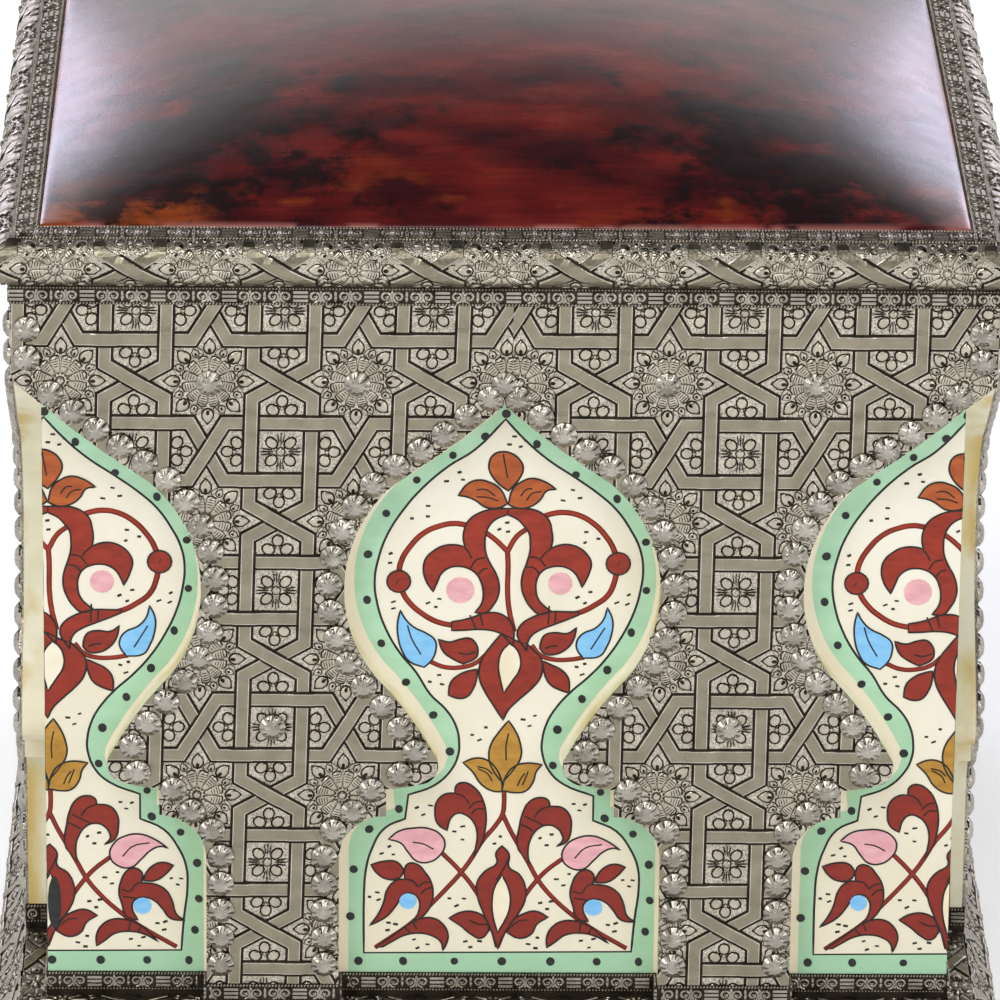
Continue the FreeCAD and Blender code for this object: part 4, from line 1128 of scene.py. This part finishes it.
def make_bands():
    mesh = gather("top", scroll_parts(-BAND, BAND, *TOP_ROWS))
    mesh.transform(upright(BAND))
    on_sides("top_scrollwork", mesh, SCROLLED, "box", None, (372, 393))
    parts = []
    for face, spans in ((BAND, ((ARCH_HALF, PIER_OUT), (-PIER_OUT, -ARCH_HALF))),
                        (CORE + RAISED, ((-CORE, -PIER_OUT), (-ARCH_HALF, ARCH_HALF), (PIER_OUT, CORE)))):
        for low, high in spans:
            parts += laid(upright(face), scroll_parts(low, high, *FOOT_ROWS))
    for x, side in ((ARCH_HALF - RAISED, -1), (PIER_OUT + RAISED, 1),
                    (RAISED - ARCH_HALF, 1), (-PIER_OUT - RAISED, -1)):
        around = Matrix.Translation((x * MM, REVEAL_AT * MM, 0)) @ turned(90 * side)
        parts += laid(around @ upright(0), scroll_parts(-6, 6, *FOOT_ROWS))
    on_sides("foot_scrollwork", gather("foot", parts), SCROLLED, "box")
    lie = Matrix.Scale(MM, 4) @ Matrix.Translation(BORDER_AT) @ Matrix.Rotation(BORDER_SLOPE, 4, "X")
    mesh = gather("border", laid(lie, scroll_parts(-NOSE_ROOT, NOSE_ROOT, *BORDER_ROWS, 1.35)))
    on_sides("border_scrollwork", keep_side(mesh, MITRES), [relief_metal, groove_metal, relief_metal],
             "lid")


def make_mouldings():
    mesh = keep_side(wrap(tile_strip(-2.0, 64.6, -14.6, 15.0, 12), nose_profile), MITRES)
    on_sides("nose_embossing", mesh, EMBOSSED, "lid", None, (388, 396.5))
    mesh = keep_side(wrap(tile_strip(3.5, 65.0, -19.0, 19.0, 7), flare_profile), MITRES)
    on_sides("plinth_embossing", mesh, EMBOSSED, "box")
    ledge = (WALL + CORE) / 2
    mesh = tile_strip(-2.0, 65.0, -6.0, 6.0, 1)
    mesh.transform(Matrix.Scale(MM, 4) @ Matrix.Translation((0, -ledge, PLINTH_TOP)))
    piers = ((-PIER_OUT - 1.5, 1.5 - ARCH_HALF), (ARCH_HALF - 1.5, PIER_OUT + 1.5))
    mesh = leave_bare(keep_side(mesh, MITRES), piers, 0, 60)
    on_sides("ledge_embossing", mesh, EMBOSSED, "box")
    rope = []
    for k in range(int(2 * TOE_RUN / TOE_PITCH)):
        rope.append((BEAD, put(-TOE_RUN + TOE_PITCH * (k + 0.5), 3.4, -35, 0.8, 1.5), None))
    mesh = gather("toe", rope)
    mesh.transform(upright(FOOT_HALF))
    on_sides("toe_rope", mesh, SCROLLED, "box")


# The cushion

CUSHION_LOW = 412.5
CUSHION_TOP = 450.0
CUSHION_HALF = 203.9
CUSHION_RIM = 1.2     # the leather's folded edge, held under the border
CUSHION_CAP = 7.0     # how far the leather may swell from the pad's form
CLOTH_FRAMES = 20


def crown(x, y):
    """The pad's form: steep at the border, full in the middle, drawn down at the corners."""
    return ((1 - min(abs(x), 1) ** 2) * (1 - min(abs(y), 1) ** 2)) ** 0.8


def make_cushion():
    """Leather drawn over a firm pad: its crown, inflated as cloth with the edge held on the lid."""
    fresh()
    bpy.ops.mesh.primitive_grid_add(x_subdivisions=84, y_subdivisions=84, size=2 * CUSHION_HALF * MM,
                                    location=(0, 0, (CUSHION_LOW + CUSHION_RIM) * MM))
    bpy.ops.object.transform_apply(location=True)
    edit()
    bpy.ops.mesh.extrude_region_move(TRANSFORM_OT_translate={"value": (0, 0, -CUSHION_RIM * MM)})
    close_up()
    mesh = lift()
    rise = (CUSHION_TOP - CUSHION_LOW - CUSHION_RIM) * MM
    for vertex in mesh.vertices:
        if vertex.co.z > (CUSHION_LOW + CUSHION_RIM / 2) * MM:
            vertex.co.z += rise * crown(vertex.co.x / CUSHION_HALF / MM, vertex.co.y / CUSHION_HALF / MM)
    obj = piece("leather_cushion", mesh, [leather])
    only(obj)
    inflate(obj)
    smoothing = obj.modifiers.new("even", "SMOOTH")
    free = obj.vertex_groups.new(name="free")
    free.add([v.index for v in mesh.vertices if v.co.z > (CUSHION_LOW + 2 * CUSHION_RIM) * MM], 1.0, "ADD")
    smoothing.factor, smoothing.iterations, smoothing.vertex_group = 0.5, 8, "free"
    bpy.ops.object.modifier_apply(modifier=smoothing.name)
    top = max(v.co.z for v in obj.data.vertices)
    low = (CUSHION_LOW + CUSHION_RIM) * MM
    for vertex in obj.data.vertices:
        if vertex.co.z > low:
            vertex.co.z = low + (vertex.co.z - low) * (CUSHION_TOP * MM - low) / (top - low)
    finer = obj.modifiers.new("finer", "SUBSURF")
    finer.levels = finer.render_levels = 1
    bpy.ops.object.modifier_apply(modifier=finer.name)
    obj.data.shade_smooth()
    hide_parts("seat_leather", "seat_padding")
    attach(obj, "lid")


def inflate(obj):
    """Blows the leather up against its held edge; no point moves further than the cap."""
    edge = (CUSHION_HALF - 2.5) * MM
    held = obj.vertex_groups.new(name="held")
    held.add([v.index for v in obj.data.vertices
              if max(abs(v.co.x), abs(v.co.y)) > edge or v.co.z < (CUSHION_LOW + 0.5) * MM], 1.0, "ADD")
    start = [v.co.copy() for v in obj.data.vertices]
    cloth = obj.modifiers.new("cloth", "CLOTH")
    cloth.settings.use_pressure, cloth.settings.uniform_pressure_force = True, 4.0
    cloth.settings.vertex_group_mass = "held"
    cloth.settings.effector_weights.gravity = 0.0
    cloth.point_cache.frame_start, cloth.point_cache.frame_end = 1, CLOTH_FRAMES
    for number in range(1, CLOTH_FRAMES + 1):
        bpy.context.scene.frame_set(number)
    bpy.ops.object.modifier_apply(modifier=cloth.name)
    bpy.context.scene.frame_set(1)
    for vertex, before in zip(obj.data.vertices, start):
        moved = vertex.co - before
        if moved.length > CUSHION_CAP * MM:
            vertex.co = before + moved.normalized() * CUSHION_CAP * MM


# Camera, light and floor

def stage_and_light():
    """A paper floor that is white to the horizon, a white world, two weak lamps behind and three in front."""
    fresh()
    bpy.ops.mesh.primitive_plane_add(size=12)
    floor = bpy.context.object
    floor.name = "floor"
    material, tree, shader, place = finish_of("matt_white_paper")
    paper = mottled(tree, place, 400, ((0.3, "#fdfdfd"), (0.7, "#ffffff")))
    rays = add(tree, "LightPath").outputs
    glow = add(tree, "Math", {0: rays["Is Camera Ray"], 1: rays["Is Glossy Ray"]}, operation="MAXIMUM").outputs[0]
    away = add(tree, "VectorMath", {0: place}, operation="LENGTH").outputs["Value"]
    rise = add(tree, "MapRange", {"Value": away, "From Min": 0.8, "From Max": 3.5, "To Min": 0.32, "To Max": 1.0})
    faint = add(tree, "Math", {0: glow, 1: rise.outputs[0]}, operation="MULTIPLY").outputs[0]
    feed(tree, shader, {"Base Color": paper, "Roughness": 0.9, "Emission Color": (1, 1, 1, 1),
                        "Emission Strength": faint})
    floor.data.materials.append(material)
    world = bpy.data.worlds.new("studio")
    bpy.context.scene.world = world
    world.use_nodes = True
    tree = world.node_tree
    rays = add(tree, "LightPath").outputs
    seen = add(tree, "Math", {0: rays["Is Camera Ray"], 1: rays["Is Transmission Ray"]}, operation="MAXIMUM")
    seen = add(tree, "Math", {0: seen.outputs[0], 1: rays["Is Glossy Ray"]}, operation="MAXIMUM")
    soft = add(tree, "Background", {"Color": linear("#f4f6fa"), "Strength": 0.5})
    height = add(tree, "SeparateXYZ", {"Vector": add(tree, "TexCoord").outputs["Generated"]}).outputs["Z"]
    ceiling = add(tree, "MapRange", {"Value": height, "From Min": 0.33, "From Max": 0.60, "To Min": 1.0,
                                     "To Max": 0.05}).outputs[0]
    white = add(tree, "Background", {"Color": ceiling, "Strength": 1.0})
    both = add(tree, "MixShader", {0: seen.outputs[0], 1: soft.outputs[0], 2: white.outputs[0]})
    tree.links.new(both.outputs[0], tree.nodes["World Output"].inputs[0])
    for name, place, aim, wide, watts in (
            ("back_left", (-1.3, 2.4, 1.2), (0, 0, 0.4), 1.0, 12),
            ("back_right", (1.3, 2.4, 1.2), (0, 0, 0.4), 1.0, 10),
            ("top", (-0.3, -1.2, 2.5), (0, -0.1, 0.3), 1.0, 16),
            ("key", (-1.6, -2.2, 1.9), (0, 0, 0.25), 1.3, 22),
            ("fill", (1.9, -1.9, 1.2), (0, 0, 0.25), 1.4, 14)):
        data = bpy.data.lights.new(name, "AREA")
        data.shape, data.size, data.energy = "SQUARE", wide, watts
        data.color = linear("#e6e0ff")[:3] if name.startswith("back") else (1, 1, 1)
        lamp = bpy.data.objects.new(name, data)
        bpy.context.scene.collection.objects.link(lamp)
        lamp.location = place
        lamp.rotation_euler = (Vector(aim) - Vector(place)).to_track_quat("-Z", "Y").to_euler()


# From a least-squares fit to points of the photograph, with the walls taken as 432 mm wide
LENS = 289.087
EYE = (-0.056694, -3.498959, 1.610740)
RIGHT = Vector((0.99986687, -0.01266425, 0.01028889))
DOWN = Vector((0.00482063, -0.37314725, -0.92775961))
AHEAD = Vector((0.01558865, 0.9276857, -0.37303652))


def make_camera():
    """The photograph's view: from 22 degrees above, long lens, a degree to the left."""
    data = bpy.data.cameras.new("camera")
    data.sensor_width, data.lens = 36.0, LENS
    data.clip_end = 50
    camera = bpy.data.objects.new("camera", data)
    bpy.context.scene.collection.objects.link(camera)
    turn = Matrix((RIGHT, -DOWN, -AHEAD)).transposed().to_4x4()
    camera.matrix_world = Matrix.Translation(EYE) @ turn
    bpy.context.scene.camera = camera


make_camera()
stage_and_light()
make_walls()
make_nails()
make_paintings()
make_bands()
make_mouldings()
make_cushion()


bpy.context.scene.view_settings.view_transform = "Standard"
